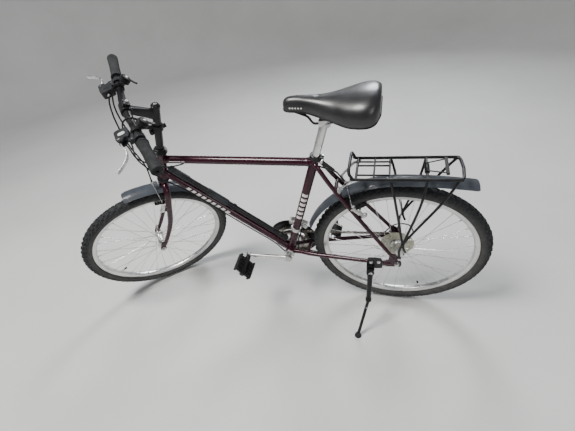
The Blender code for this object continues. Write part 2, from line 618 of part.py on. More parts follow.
def build_controls(side, label, parent, origin):
    inner = bar_point(side * GRIP_IN)
    outer = bar_point(side * (BAR_HALF + 0.004))
    along = (outer - inner).normalized()
    length = (outer - inner).length
    bore = (BAR_R + GAP) / cos(pi / 12)
    profile = [(bore, 0.0), (0.0190, 0.0), (0.0190, 0.004), (GRIP_R, 0.006),
               (GRIP_R - 0.0012, length * 0.45), (GRIP_R + 0.0006, length - 0.012),
               (GRIP_R + 0.0010, length - 0.004), (GRIP_R - 0.0025, length),
               (0.0045, length), (0.0045, length - 0.0035), (bore, length - 0.0035)]
    piece("grip_" + label, "rubber_black", [turned(inner, along, profile, 12)], parent=parent, origin=origin)
    # brake lever: clamp, housing and blade
    at = bar_point(side * LEVER_Y)
    ring = [(bore, -0.009), (0.0170, -0.009), (0.0170, 0.009), (bore, 0.009)]
    x, z = at.x, at.z

    def local(dx, y, dz):
        return Vector((x + dx, side * y, z + dz))

    housing = [(-0.060, 0.004), (-0.058, 0.036), (-0.024, 0.042), (-0.020, 0.030), (-0.020, 0.000),
               (-0.052, -0.002)]
    outline = [(a, side * b) for a, b in housing]
    if side < 0:
        outline = outline[::-1]
    body = [turned(at, bar_dir(side * LEVER_Y), ring, 12),
            plate(outline, local(0.0, 0.1020, 0.006), BACK, SIDE, 0.026),
            block(local(-0.0195, LEVER_Y - 0.007, 0.004), (0.018, 0.028, 0.016))]
    hinge_at = local(-0.052, 0.1400, 0.006)
    cut_wide = block(hinge_at + Vector((0.000, side * 0.0065, 0.0)), (0.030, 0.016, 0.0125))
    cut_bar = rod(bar_point(side * 0.10), bar_point(side * 0.20), bore, 12)
    piece("brake_lever_body_" + label, "plastic_black", body, [cut_wide, cut_bar], parent, origin)
    path = [hinge_at + Vector((-0.001, side * 0.002, 0.0)), local(-0.052, 0.1600, 0.006),
            local(-0.047, 0.1830, 0.005), local(-0.050, 0.2060, 0.004), local(-0.068, 0.2300, 0.003),
            local(-0.088, 0.2460, 0.003)]
    blade = [sweep(smooth_path(path, 2), 0.0, flat=(0.0105, 0.0055), start=UP)]
    piece("brake_lever_blade_" + label, "steel_silver", blade, parent=parent, origin=hinge_at)
    # thumb shifter: clamp and housing, then its turning lever
    at = bar_point(side * SHIFT_Y)
    up_back = (STEER_UP * 0.80 + STEER_BACK * 0.60).normalized()
    centre = at + up_back * 0.026
    clamp = [(bore, -0.007), (0.0155, -0.007), (0.0155, 0.007), (bore, 0.007)]
    shifter = [turned(at, bar_dir(side * SHIFT_Y), clamp, 12),
               rod(centre, centre + up_back * 0.014, 0.0175, 14),
               rod(at + up_back * 0.0145, centre + up_back * 0.002, 0.0090, 8)]
    cut_bar = rod(bar_point(side * 0.06), bar_point(side * 0.16), bore, 12)
    piece("shifter_body_" + label, "plastic_black", shifter, [cut_bar], parent, origin)
    turn_at = centre + up_back * (0.014 + GAP)
    reach = (STEER_BACK * 0.80 - STEER_UP * 0.60).normalized()
    paddle = [turn_at + up_back * 0.003, turn_at + up_back * 0.003 + reach * 0.024 - SIDE * (side * 0.004),
              turn_at + up_back * 0.006 + reach * 0.036 - SIDE * (side * 0.008)]
    lever = [rod(turn_at, turn_at + up_back * 0.0065, 0.0150, 14),
             sweep(paddle, 0.0, flat=(0.009, 0.004), start=SIDE)]
    piece("shifter_lever_" + label, "steel_silver", lever, parent=parent, origin=turn_at)


# ---- rim brakes -----------------------------------------------------------------------------
PAD_RISE = 0.0240
ARM_RISE = 0.062
ARM_END_Y = 0.066


def build_brake(end, label, side, boss, up, normal, collar, parent):
    """A cantilever arm with its pad, on a stud that points along the normal."""
    def at(rise, out, y):
        return boss + up * rise + normal * out + SIDE * (side * y - boss.y)

    near = collar + GAP
    bore = (STUD_R + GAP) / cos(pi / 10)
    knuckle = [(bore, near), (0.0085, near), (0.0085, near + 0.0160), (bore, near + 0.0160)]
    mid = near + 0.0080
    arm = [at(0.004, mid, 0.0460), at(0.030, mid, 0.0580), at(ARM_RISE, mid, ARM_END_Y)]
    shapes = [turned(boss, normal, knuckle, 10), sweep(arm, 0.0, flat=(0.0130, 0.0080), start=normal),
              rod(at(PAD_RISE, mid, 0.0220), at(PAD_RISE, mid, 0.0600), 0.0038, 6),
              rod(at(ARM_RISE - 0.002, mid - 0.008, ARM_END_Y), at(ARM_RISE - 0.002, mid + 0.008, ARM_END_Y),
                  0.0042, 6),
              block(at(PAD_RISE, mid, 0.0200), (0.0500, 0.0102, 0.0120), normal, SIDE)]
    piece(end + "_brake_arm_" + label, "steel_silver", shapes, [rod(boss, boss + normal * 0.05, bore, 10)],
          parent, boss)
    return at(ARM_RISE, mid, ARM_END_Y)


def build_straddle(end, yoke, ends, normal, parent, origin=(0.0, 0.0, 0.0)):
    """The yoke with its two link wires, held by the cable above it."""
    shapes = [block(yoke, (0.006, 0.018, 0.010), normal, SIDE)]
    for tip in ends:
        lift = (yoke - tip).normalized()
        shapes.append(rod(tip + lift * 0.0080, yoke, 0.0016, 6))
    piece(end + "_brake_straddle", "steel_silver", shapes, parent=parent, origin=origin)


# ---- mudguards ------------------------------------------------------------------------------
SHEET = 0.0022


def guard_ring(edge, up, half, crown):
    """One thin arched section: its edges lie at the given point, its crown above them."""
    steps = (-1.0, -0.72, -0.36, 0.0, 0.36, 0.72, 1.0)
    outer = [edge + SIDE * (half * t) + up * (crown * (1 - t * t) + SHEET) for t in steps]
    inner = [edge + SIDE * ((half - SHEET * 0.6 * abs(t)) * t) + up * (crown * (1 - t * t)) for t in steps]
    return outer + inner[::-1]


def build_mudguards(rear_parent, front_parent, front_origin):
    rings = []
    for k in range(10):
        a = radians(159.0 - 69.0 * k / 9)
        up = Vector((cos(a), 0.0, sin(a)))
        rings.append(guard_ring(up * 0.3440, up, 0.0300, 0.0115))
    for x, z, half, crown in ((0.080, 0.3420, 0.0300, 0.0115), (0.160, 0.3350, 0.0295, 0.0090),
                              (0.226, 0.3270, 0.0290, 0.0060)):
        rings.append(guard_ring(Vector((x, 0.0, z)), Vector((0.09, 0.0, 0.996)), half, crown))
    tab = rod(stay_point(0.3562), stay_point(0.3812), 0.0060, 8)
    piece("rear_mudguard", "plastic_grey", [loft(rings), tab], parent=rear_parent)
    rings = []
    for k in range(9):
        a = radians(88.0 - 62.0 * k / 8)
        up = Vector((cos(a), 0.0, sin(a)))
        rings.append(guard_ring(FRONT_AXLE + up * 0.3430, up, 0.0300, 0.0105))
    tab = block(on_steering(0.3650, 0.0214), (0.0036, 0.0160, 0.0240), STEER_BACK, SIDE)
    piece("front_mudguard", "plastic_grey", [loft(rings), tab], parent=front_parent, origin=front_origin)


# ---- rear rack ------------------------------------------------------------------------------
DECK_Z = 0.395
DECK_Y = 0.0560
RAIL_ROD = 0.0050
STRUT_ROD = 0.0043
CROSS_ROD = 0.0040
THIN_ROD = 0.0030
CLIP_X = 0.070


def build_rack(parent):
    front = [(-0.140, 1.0, 0.0), (-0.153, 0.98, 0.008), (-0.161, 0.92, 0.024), (-0.162, 0.0, 0.026)]
    back = [(0.150, 1.0, 0.0), (0.161, 0.93, 0.0), (0.168, 0.76, 0.0), (0.172, 0.0, 0.0)]
    half = [(x, DECK_Y * f, DECK_Z + dz) for x, f, dz in reversed(front)]
    half += [(x, DECK_Y * f, DECK_Z + dz) for x, f, dz in back]
    loop = half + [(x, -y, z) for x, y, z in reversed(half[1:-1])]
    shapes = [sweep(loop, RAIL_ROD, 6, closed=True)]
    for x, r in ((-0.140, CROSS_ROD), (-0.086, THIN_ROD), (-0.039, THIN_ROD), (CLIP_X, CROSS_ROD)):
        shapes.append(rod((x, -DECK_Y, DECK_Z), (x, DECK_Y, DECK_Z), r, 6))
    for y in (-0.034, 0.014, 0.034):
        shapes.append(rod((-0.140, y, DECK_Z), (-0.039, y, DECK_Z), THIN_ROD, 5))
    for side in (-1, 1):
        y = side * DECK_Y
        low = Vector((0.014, side * 0.0805, 0.120))
        foot = Vector((0.006, side * 0.0805, 0.038))
        struts = ([(-0.037, y, DECK_Z - 0.002), (-0.020, side * 0.0660, 0.320), low, (0.025, low.y, 0.080)],
                  [(CLIP_X, y, DECK_Z - 0.002), (0.056, side * 0.0680, 0.290), low],
                  [(0.158, y * 0.95, DECK_Z - 0.002), (0.116, side * 0.0690, 0.310), low, foot])
        for strut in struts:
            shapes.append(sweep(strut, STRUT_ROD, 6, start=SIDE))
        shapes.append(rod(low - SIDE * (side * 0.0060), low + SIDE * (side * 0.0085), 0.0065, 8))
        inner = Vector((foot.x, side * (DROP_IN + DROP_THICK + GAP), foot.z))
        shapes.append(rod(inner, (foot.x, side * 0.0870, foot.z), 0.0060, 8))
    piece("rear_rack", "alloy_black", shapes, parent=parent)
    for side, label in ((-1, "left"), (1, "right")):
        top = Vector((-0.1415, side * 0.0480, DECK_Z - 0.0072))
        bend = Vector((-0.158, side * 0.0450, DECK_Z - 0.014))
        low = stay_point(0.3880, 0.0125, side * 0.0360)
        strap = sweep([top + BACK * 0.010, top, bend, low, low - STAY_DIR * 0.012], 0.0,
                      flat=(0.0150, 0.0030), start=SIDE)
        bolt_at = low - STAY_DIR * 0.005
        bolt = rod(bolt_at - STAY_NORMAL * 0.0035, bolt_at + STAY_NORMAL * 0.006, 0.0050, 8)
        piece("rack_strap_" + label, "steel_silver", [strap, bolt], parent=parent)
    # sprung clip: coil round a deck rod, two wires and a bar that lies on the load
    hinge = Vector((CLIP_X, 0.0, DECK_Z))
    clear = CROSS_ROD + 2 * GAP
    coil = [(clear, -0.020), (0.0085, -0.020), (0.0085, 0.020), (clear, 0.020)]
    clip = [turned(hinge, SIDE, coil, 12)]
    for side in (-1, 1):
        wire = ((CLIP_X - 0.001, side * 0.017, DECK_Z + 0.0068), (0.1240, side * 0.034, DECK_Z + 0.0100))
        clip.append(rod(wire[0], wire[1], 0.0024, 6))
    clip.append(block((0.1250, 0.0, DECK_Z + 0.0100), (0.0100, 0.0820, 0.0070)))
    hole = rod(hinge - SIDE * 0.06, hinge + SIDE * 0.06, clear, 12)
    piece("rack_clip", "alloy_black", clip, [hole], parent, hinge)


# ---- pump on the down tube ------------------------------------------------------------------
DOWN_ALONG = (DOWN_TUBE[1] - DOWN_TUBE[0]).normalized()
DOWN_OUT = Vector((-DOWN_ALONG.z, 0.0, DOWN_ALONG.x))
PUMP_OUT = 0.0321


def down_tube_point(distance, out=0.0, y=0.0):
    """A point so far along the down tube from its top, and so far above and beside it."""
    return DOWN_TUBE[0] + DOWN_ALONG * distance + DOWN_OUT * out + SIDE * y


def build_pump(parent):
    along = DOWN_ALONG
    out = DOWN_OUT

    def at(distance):
        return down_tube_point(distance, PUMP_OUT)

    ring_at = at(0.300)
    handle = [rod(at(0.014), at(0.096), 0.0135, 16), rod(at(0.094), at(0.103), 0.0112, 16)]
    barrel = [rod(at(0.103 + GAP), at(0.524), 0.0108, 16),
              rod(at(0.176), at(0.272), 0.0138, 16),
              rod(at(0.520), at(0.562), 0.0130, 14),
              rod(at(0.545), at(0.545) + out * 0.020, 0.0070, 10),
              rod(ring_at - along * 0.007, ring_at + along * 0.007, 0.0135, 14),
              block(ring_at - out * 0.0130, (0.014, 0.010, 0.0057), along, SIDE)]
    piece("pump_handle", "plastic_grey", handle, parent=parent)
    piece("pump_barrel", "plastic_black", barrel, parent=parent)


# ---- drive ----------------------------------------------------------------------------------
SPROCKETS = (28, 24, 21, 18, 16, 14)
RINGS = ((28, 0.0402), (38, 0.0475), (48, 0.0550))
GUIDE = Vector((0.012, CHAIN_Y, -0.0880))
TENSION = Vector((-0.030, CHAIN_Y, -0.1500))
PULLEY_TEETH = 11
TOOTH_DROP = 0.0058


def build_sprockets(parent):
    profile = [(0.0120, 0.0276)]
    for k, teeth in enumerate(SPROCKETS):
        y = 0.0292 + 0.0055 * k
        r = pitch_r(teeth) - TOOTH_DROP
        profile += [(r, y - 0.0012), (r, y + 0.0012), (0.0210, y + 0.0027)]
    profile += [(0.0185, 0.0605), (0.0120, 0.0605)]
    piece("sprocket_cluster", "chain_steel", [turned((0.0, 0.0, 0.0), SIDE, profile, 16)], parent=parent)
    guard = [(0.0250, 0.0243), (0.0610, 0.0252), (0.0635, 0.0235), (0.0640, 0.0246), (0.0612, 0.0267),
             (0.0250, 0.0258)]
    piece("spoke_protector", "plastic_yellowed", [turned((0.0, 0.0, 0.0), SIDE, guard, 20)], parent=parent)


def crank_dir():
    return Vector((-cos(CRANK_ANGLE), 0.0, sin(CRANK_ANGLE)))


def build_cranks(parent):
    spindle = rod(BB - SIDE * 0.0560, BB + SIDE * 0.0600, 0.0085, 14)
    for side, label in ((-1, "left"), (1, "right")):
        d = crank_dir() * (1 if side < 0 else -1)
        face = 0.0560 + GAP if side < 0 else 0.0585 + GAP
        centre_y = face + 0.0065
        end_y = centre_y + 0.0110
        path = [BB + SIDE * (side * centre_y), BB + d * 0.040 + SIDE * (side * (centre_y + 0.002)),
                BB + d * 0.130 + SIDE * (side * (end_y - 0.002)), BB + d * CRANK_LEN + SIDE * (side * end_y)]
        widths = (0.030, 0.024, 0.020, 0.019)
        up = d.cross(SIDE).normalized()
        rings = []
        for p, w in zip(path, widths):
            rings.append([p + up * (w / 2 * a) + SIDE * (0.0065 * b) for a, b in eight_corners(0.65)])
        end = path[-1]
        shapes = [loft(rings),
                  rod(BB + SIDE * (side * face), BB + SIDE * (side * (face + 0.0140)), 0.0172, 16),
                  rod(end - SIDE * 0.0072, end + SIDE * 0.0072, 0.0132, 14)]
        if side > 0:
            shapes.append(spindle)
            for k in range(5):
                a = CRANK_ANGLE + 2 * pi * k / 5
                r = Vector((cos(a), 0.0, sin(a)))
                arm = [BB + r * 0.010 + SIDE * 0.0640, BB + r * 0.0580 + SIDE * 0.0596]
                shapes.append(sweep(arm, 0.0, flat=(0.012, 0.0050), start=SIDE.cross(r)))
        piece("crank_" + label, "steel_silver", shapes, parent=parent, origin=BB)
        build_pedal(side, label, end + SIDE * (side * 0.0072), parent)
    outer = [(0.0530, 0.0537), (0.0985, 0.0537), (0.0985, 0.0560), (0.1040, 0.0560), (0.1040, 0.0600),
             (0.0920, 0.0600), (0.0920, 0.0563), (0.0530, 0.0563)]
    rings = [turned(BB, SIDE, outer, 28)]
    for k in range(5):
        a = CRANK_ANGLE + 2 * pi * k / 5
        r = Vector((cos(a), 0.0, sin(a)))
        strut = [BB + r * 0.0340 + SIDE * 0.0550, BB + r * 0.0600 + SIDE * 0.0550]
        rings.append(sweep(strut, 0.0, flat=(0.013, 0.0016), start=SIDE.cross(r)))
        rings.append(rod(BB + r * 0.0395 + SIDE * 0.0396, BB + r * 0.0395 + SIDE * 0.0550, 0.0042, 6))
        rings.append(rod(BB + r * 0.0575 + SIDE * 0.0470, BB + r * 0.0575 + SIDE * 0.0550, 0.0040, 6))
    rings.append(disc(BB + SIDE * RINGS[1][1], SIDE, 0.0525, pitch_r(38) + 0.001, 0.0022, 20))
    rings.append(disc(BB + SIDE * RINGS[0][1], SIDE, 0.0330, pitch_r(28) - TOOTH_DROP, 0.0022, 20))
    piece("chainrings", "alloy_black", rings, parent=parent, origin=BB)


PEDAL_TILT = radians(-58.0)


def build_pedal(side, label, face, parent):
    """A moulded pedal, front edge raised: barrel on the axle, treads and fins between end bars."""
    start = face + SIDE * (side * GAP)
    tilt = PEDAL_TILT
    fore = Vector((-cos(tilt), 0.0, -sin(tilt)))
    lift = fore.cross(SIDE)
    barrel = rod(start, start + SIDE * (side * 0.0960), 0.0115, 14)
    shapes = [barrel]
    for sign in (-1, 1):
        centre = start + SIDE * (side * 0.0540)
        shapes.append(block(centre + fore * (sign * 0.0360), (0.0070, 0.0800, 0.0240), fore, SIDE))
        shapes.append(block(centre + fore * (sign * 0.0210), (0.0050, 0.0710, 0.0150), fore, SIDE))
    for y in (0.0200, 0.0880):
        shapes.append(block(start + SIDE * (side * y), (0.0710, 0.0090, 0.0180), fore, SIDE))
    piece("pedal_" + label, "plastic_black", shapes, parent=parent, origin=face)


def build_chain(parent):
    circles = [(BB.x, BB.z, pitch_r(RINGS[0][0]), -1), (0.0, 0.0, pitch_r(SPROCKETS[2]), -1),
               (GUIDE.x, GUIDE.z, pitch_r(PULLEY_TEETH), 1),
               (TENSION.x, TENSION.z, pitch_r(PULLEY_TEETH), -1)]
    path = [Vector((x, CHAIN_Y, z)) for x, z in belt(circles, radians(22.0))]
    run = sweep(path, 0.0, closed=True, flat=(0.0066, 0.0080), start=SIDE)
    piece("chain", "chain_steel", [run], parent=parent)


def build_derailleurs(parent, cage_parent):
    # rear: pivot on the dropout, slanted links, then the sprung pulley cage
    pivot = Vector((-0.002, 0.0735 + GAP, -0.030))
    knuckle = Vector((GUIDE.x, 0.0600, GUIDE.z))
    body = [rod(pivot, pivot + SIDE * 0.0160, 0.0105, 12),
            sweep([pivot + SIDE * 0.010, Vector((-0.024, 0.0850, -0.052)), knuckle + SIDE * 0.012], 0.0,
                  flat=(0.022, 0.012), start=BACK),
            rod(knuckle - SIDE * 0.0030, knuckle + SIDE * 0.018, 0.0115, 12)]
    piece("rear_derailleur_body", "plastic_black", body, parent=parent)
    cage = []
    for y in (CHAIN_Y - 0.0072, CHAIN_Y + 0.0072):
        a = Vector((GUIDE.x, y, GUIDE.z))
        b = Vector((TENSION.x, y, TENSION.z))
        cage.append(sweep([a + (a - b).normalized() * 0.010, b - (a - b).normalized() * 0.010], 0.0,
                          flat=(0.016, 0.0020), start=(b - a).cross(SIDE)))
    for p in (GUIDE, TENSION):
        cage.append(rod(p - SIDE * 0.0015, p + SIDE * 0.0015, pitch_r(PULLEY_TEETH) - TOOTH_DROP, 14))
        cage.append(rod(p - SIDE * 0.0090, p + SIDE * 0.0095, 0.0040, 8))
    cage.append(rod(GUIDE + SIDE * 0.0080, Vector((GUIDE.x, 0.0570 - GAP, GUIDE.z)), 0.0065, 10))
    piece("rear_derailleur_cage", "steel_silver", cage, parent=cage_parent, origin=GUIDE)
    # front: clamp on the seat tube and the two cage plates
    height = 0.130
    at = on_seat(height)
    bore = (SEAT_TUBE_R + GAP) / cos(pi / 16)
    ring = [(bore, -0.009), (0.0190, -0.009), (0.0190, 0.009), (bore, 0.009)]
    shapes = [turned(at, SEAT_UP, ring, 16)]
    link_end = at + SIDE * 0.0350 + BACK * 0.004
    shapes.append(rod(at + SIDE * 0.0175, link_end, 0.0080, 10))
    for y, low in ((0.0345, 0.1075), (0.0600, 0.1075)):
        ring_points = []
        for r, angles in ((0.1260, (52, 64, 76, 88)), (low, (88, 76, 64, 52))):
            ring_points += [(r * cos(radians(a)), r * sin(radians(a))) for a in angles]
        shapes.append(plate(ring_points, BB + SIDE * y, BACK, UP, 0.0020))
    for a in (52, 86):
        p = BB + Vector((cos(radians(a)), 0.0, sin(radians(a)))) * 0.1215
        shapes.append(block(p + SIDE * 0.04725, (0.006, 0.0270, 0.0060)))
    tube = rod(on_seat(height - 0.03), on_seat(height + 0.03), bore, 16)
    piece("front_derailleur", "steel_silver", shapes, [tube], parent)


# ---- side stand -----------------------------------------------------------------------------
def lean_matrix():
    return Matrix.Rotation(-NOSE_DOWN, 3, "Y") @ Matrix.Rotation(LEAN, 3, "X")


def ground_z(x, y):
    """The height, in the bicycle's own coordinates, of the ground under a point."""
    m = lean_matrix()
    datum = DATUM_OF["bike_lean"]
    return datum.z + (-GROUND_TO_LINE - m[2][0] * x - m[2][1] * y) / m[2][2]


STAND_FOOT = (-0.139, -0.242)
STAND_AXIS = Vector((0.20, -1.0, 0.154)).normalized()
STAND_BEND = 0.0130


def stand_pivot():
    """The centre of the stand's hinge: its boss tilts, so it stands off the bracket."""
    return Vector((-0.096, -(STAY_Y + 0.0078 + GAP) - 0.0145 - 0.0106, -0.0300))


def build_stand(parent, leg_parent):
    plate_y = -(STAY_Y + 0.0078 + GAP)
    bracket = [block((-0.080, plate_y - 0.0030, 0.006), (0.056, 0.0060, 0.058)),
               block((-0.096, plate_y - 0.0080, -0.024), (0.030, 0.0130, 0.026)),
               rod((-0.072, plate_y - 0.004, 0.010), (-0.072, plate_y - 0.012, 0.010), 0.0075, 6)]
    piece("stand_bracket", "alloy_black", bracket, parent=parent)
    pivot = stand_pivot()
    foot = Vector((STAND_FOOT[0], STAND_FOOT[1], ground_z(*STAND_FOOT)))
    knee = pivot.lerp(foot, 0.41) + BACK * STAND_BEND
    along = (knee - pivot).normalized()
    down = lean_matrix().transposed() @ UP
    leg = [rod(pivot - STAND_AXIS * 0.006, pivot + STAND_AXIS * 0.006, 0.0150, 14),
           rod(pivot + along * 0.009, knee, 0.0100, 10, 0.0085),
           rod(knee - along * 0.010, knee + along * 0.004, 0.0115, 10),
           rod(foot + down * 0.0060, knee, 0.0062, 8), rod(foot, foot + down * 0.0080, 0.0135, 14)]
    piece("stand_leg", "alloy_black", leg, parent=leg_parent, origin=pivot)


# ---- cables ---------------------------------------------------------------------------------
CABLE_R = 0.0026


def steered(point):
    """Where a point drawn on the straight-ahead front end lies once the steering is turned."""
    turn = Quaternion(STEER_UP, STEER)
    return STEER_FOOT + turn @ (Vector(point) - STEER_FOOT)


def cable(name, points, steps, parent, origin=(0.0, 0.0, 0.0), r=CABLE_R):
    piece(name, "plastic_black", [sweep(smooth_path(points, steps), r, 5)], parent=parent, origin=origin)


def build_cables(parent, front_parent, origin, front_yoke, rear_yoke):
    # front brake: from the right lever down to the yoke
    lever_x = bar_point(LEVER_Y).x - 0.040
    lever_z = bar_point(LEVER_Y).z + 0.006
    route = [(lever_x, 0.0985, lever_z), (lever_x - 0.0010, 0.0935, lever_z - 0.0020),
             (-0.9000, 0.0860, 0.6660), (-0.9110, 0.0750, 0.6330), (-0.9160, 0.0600, 0.6070),
             (-0.9200, 0.0450, 0.5750), (-0.9220, 0.0250, 0.5230),
             (-0.9180, 0.0080, 0.4380), front_yoke + STEER_UP * 0.0068]
    cable("cable_front_brake", route, 3, front_parent, origin)
    # rear brake: from the left lever, along the top tube, to the yoke behind the seat
    under = Vector((0.0, 0.0130, -0.0135))
    route = [steered(p) for p in ((lever_x, -0.0985, lever_z), (lever_x - 0.0010, -0.0935, lever_z - 0.0010),
                                  (-0.8980, -0.0860, 0.6720), (-0.9050, -0.0760, 0.6400),
                                  (-0.9080, -0.0640, 0.5950), (-0.9120, -0.0520, 0.5400))]
    route += [(-0.8500, -0.0760, 0.4800), (-0.8180, -0.0380, 0.4340), (-0.7850, -0.0020, 0.4150)]
    route += [TOP_TUBE[0].lerp(TOP_TUBE[1], t) + under for t in (0.19, 0.35, 0.60, 0.86)]
    route += [on_seat(0.4480, 0.0, 0.0210), on_seat(0.4580, 0.0270, 0.0120),
              stay_point(0.4350, 0.0320, 0.0020), stay_point(0.4150, 0.0350), rear_yoke + STAY_DIR * 0.0068]
    cable("cable_rear_brake", route, 3, parent)
    # gear cables: from each shifter, under the down tube, to each derailleur
    rear = [steered(p) for p in ((-0.8270, 0.0980, 0.7020), (-0.8430, 0.0940, 0.7130),
                                 (-0.8670, 0.0930, 0.7000), (-0.8830, 0.0920, 0.6740),
                                 (-0.8950, 0.0850, 0.6420), (-0.9000, 0.0680, 0.6000),
                                 (-0.9020, 0.0500, 0.5400))]
    rear += [(-0.9250, 0.0020, 0.4700), (-0.9080, 0.0260, 0.4150), (-0.8700, 0.0320, 0.3700)]
    rear += [down_tube_point(t, -0.0165, 0.0130) for t in (0.100, 0.250, 0.400, 0.530)]
    rear += [(-0.4660, 0.0180, -0.0450), (-0.4350, 0.0270, -0.0600), (-0.3950, 0.0340, -0.0490),
             (-0.3300, 0.0440, -0.0400), (-0.1200, 0.0690, -0.0260), (-0.0620, 0.0860, -0.0180),
             (-0.0100, 0.1000, 0.0280), (0.0450, 0.1000, 0.0280), (0.0620, 0.0950, -0.0200),
             (0.0300, 0.0900, -0.0620)]
    cable("cable_rear_gear", rear, 2, parent)
    front = [steered(p) for p in ((-0.8270, -0.0980, 0.7020), (-0.8450, -0.0900, 0.7130),
                                  (-0.8720, -0.0780, 0.7000), (-0.8900, -0.0620, 0.6550),
                                  (-0.8980, -0.0450, 0.5900))]
    front += [(-0.8850, -0.0750, 0.5000), (-0.8920, -0.0450, 0.4300), (-0.8700, -0.0320, 0.3700)]
    front += [down_tube_point(t, -0.0165, -0.0130) for t in (0.100, 0.250, 0.400, 0.530)]
    front += [BB + Vector((-0.0280, -0.0130, -0.0180)), BB + Vector((-0.0040, -0.0120, -0.0270)),
              BB + Vector((0.0270, 0.0, -0.0140)), BB + Vector((0.0340, 0.0040, 0.0120)),
              on_seat(0.0640, 0.0215, 0.0080), on_seat(0.0980, 0.0235, 0.0130),
              on_seat(0.1190, 0.0235, 0.0150)]
    cable("cable_front_gear", front, 2, parent)


# ---- assembly -------------------------------------------------------------------------------
def build():
    for obj in list(bpy.data.objects):
        bpy.data.objects.remove(obj, do_unlink=True)
    line = Vector((0.0, 0.0, TYRE_HALF - WHEEL_R))
    lean = empty("bike_lean", None, line)
    lean.location = (DATUM_X, DATUM_Y, GROUND_TO_LINE)
    lean.rotation_euler = (LEAN, -NOSE_DOWN, 0.0)
    pivot = on_steering(CROWN_RACE)
    front = empty("steering_axis", lean, pivot)
    front.rotation_mode = "QUATERNION"
    front.rotation_quaternion = Quaternion(STEER_UP, STEER)

    build_frame(lean)
    build_headset(lean)
    build_seat(lean, lean)
    build_fork(front, pivot)
    build_cockpit(front, pivot)
    rim_and_tyre("front", FRONT_AXLE, front)
    hub("front", FRONT_AXLE, -0.0300, 0.0300, 0.0200, 0.0140, front)
    axle("front", FRONT_AXLE, FORK_IN - 0.0005, front, -0.0300, 0.0300)
    rear = Vector((0.0, 0.0, 0.0))
    rim_and_tyre("rear", rear, lean)
    hub("rear", rear, -0.0340, 0.0200, 0.0225, 0.0160, lean)
    axle("rear", rear, DROP_IN, lean, -0.0340, 0.0200)
    front_ends = []
    rear_ends = []
    for side, label in ((-1, "left"), (1, "right")):
        front_ends.append(build_brake("front", label, side, on_steering(FRONT_BOSS, 0.0, side * BOSS_Y),
                                      STEER_UP, -STEER_BACK, FRONT_COLLAR, front))
        rear_ends.append(build_brake("rear", label, side, stay_point(BOSS_RADIUS_POS, 0.0, side * BOSS_Y),
                                     STAY_DIR, STAY_NORMAL, REAR_COLLAR, lean))
    front_yoke = on_steering(0.3800, 0.0450)
    rear_yoke = stay_point(0.3800, 0.0340)
    build_straddle("front", front_yoke, front_ends, -STEER_BACK, front, pivot)
    build_straddle("rear", rear_yoke, rear_ends, STAY_NORMAL, lean)
    build_mudguards(lean, front, pivot)
    build_rack(lean)
    build_pump(lean)
    build_sprockets(lean)
    build_cranks(lean)
    build_chain(lean)
    build_derailleurs(lean, lean)
    build_stand(lean, lean)
    build_cables(lean, front, pivot, front_yoke, rear_yoke)


build()
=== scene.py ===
"""The looks of a touring bicycle on its side stand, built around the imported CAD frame.

Lengths are metres. Pieces are drawn in the bicycle's own upright coordinates, from its rear axle:
+X to its rear, +Y to its right (the chain side) and +Z up. LEANED and STEERED then place them.
"""

from math import atan2, cos, pi, radians, sin, sqrt

import bmesh
import bpy
import numpy as np
from mathutils import Euler, Matrix, Quaternion, Vector


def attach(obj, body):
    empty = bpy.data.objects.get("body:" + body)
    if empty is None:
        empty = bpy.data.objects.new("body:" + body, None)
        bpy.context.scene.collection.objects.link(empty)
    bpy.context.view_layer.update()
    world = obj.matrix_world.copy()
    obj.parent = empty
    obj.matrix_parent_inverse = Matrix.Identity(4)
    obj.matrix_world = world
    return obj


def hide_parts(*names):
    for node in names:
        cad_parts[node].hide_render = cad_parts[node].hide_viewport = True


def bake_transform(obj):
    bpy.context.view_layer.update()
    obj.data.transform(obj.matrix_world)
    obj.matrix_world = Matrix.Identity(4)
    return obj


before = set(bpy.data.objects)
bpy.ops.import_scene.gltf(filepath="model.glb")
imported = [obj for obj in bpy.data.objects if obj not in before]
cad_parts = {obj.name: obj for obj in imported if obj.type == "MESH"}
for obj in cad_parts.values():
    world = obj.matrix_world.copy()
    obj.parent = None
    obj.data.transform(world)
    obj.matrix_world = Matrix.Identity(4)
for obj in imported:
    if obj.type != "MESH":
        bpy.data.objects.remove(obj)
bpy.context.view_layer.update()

# ---- driving dimensions, as the CAD has them ------------------------------------------------
WHEEL_R = 0.330
TYRE_HALF = 0.025
WHEELBASE = 1.076
BB_BACK = 0.435
BB_DROP = 0.032
SEAT_ANGLE = radians(71.0)
HEAD_ANGLE = radians(68.3)
FORK_RAKE = 0.0427
CROWN_RACE = 0.388
HEAD_TUBE_LEN = 0.124
STACK = 0.012
SEAT_TUBE_LEN = 0.510
LEAN = radians(9.0)
NOSE_DOWN = radians(0.402)
STEER = radians(40.7)
CRANK_ANGLE = radians(6.5)
CRANK_LEN = 0.170
PEDAL_TILT = radians(-58.0)
DATUM = Vector((0.50504, 0.13625, 0.02313))
GAP = 0.0003

UP = Vector((0.0, 0.0, 1.0))
SIDE = Vector((0.0, 1.0, 0.0))
BACK = Vector((1.0, 0.0, 0.0))
ORIGIN = Vector((0.0, 0.0, 0.0))
SIDES = ((-1, "left"), (1, "right"))
STEER_UP = Vector((cos(HEAD_ANGLE), 0.0, sin(HEAD_ANGLE)))
STEER_BACK = Vector((sin(HEAD_ANGLE), 0.0, -cos(HEAD_ANGLE)))
FRONT_AXLE = Vector((-WHEELBASE, 0.0, 0.0))
STEER_FOOT = FRONT_AXLE + STEER_BACK * FORK_RAKE
BB = Vector((-BB_BACK, 0.0, -BB_DROP))
SEAT_UP = Vector((cos(SEAT_ANGLE), 0.0, sin(SEAT_ANGLE)))
SEAT_BACK = Vector((sin(SEAT_ANGLE), 0.0, -cos(SEAT_ANGLE)))

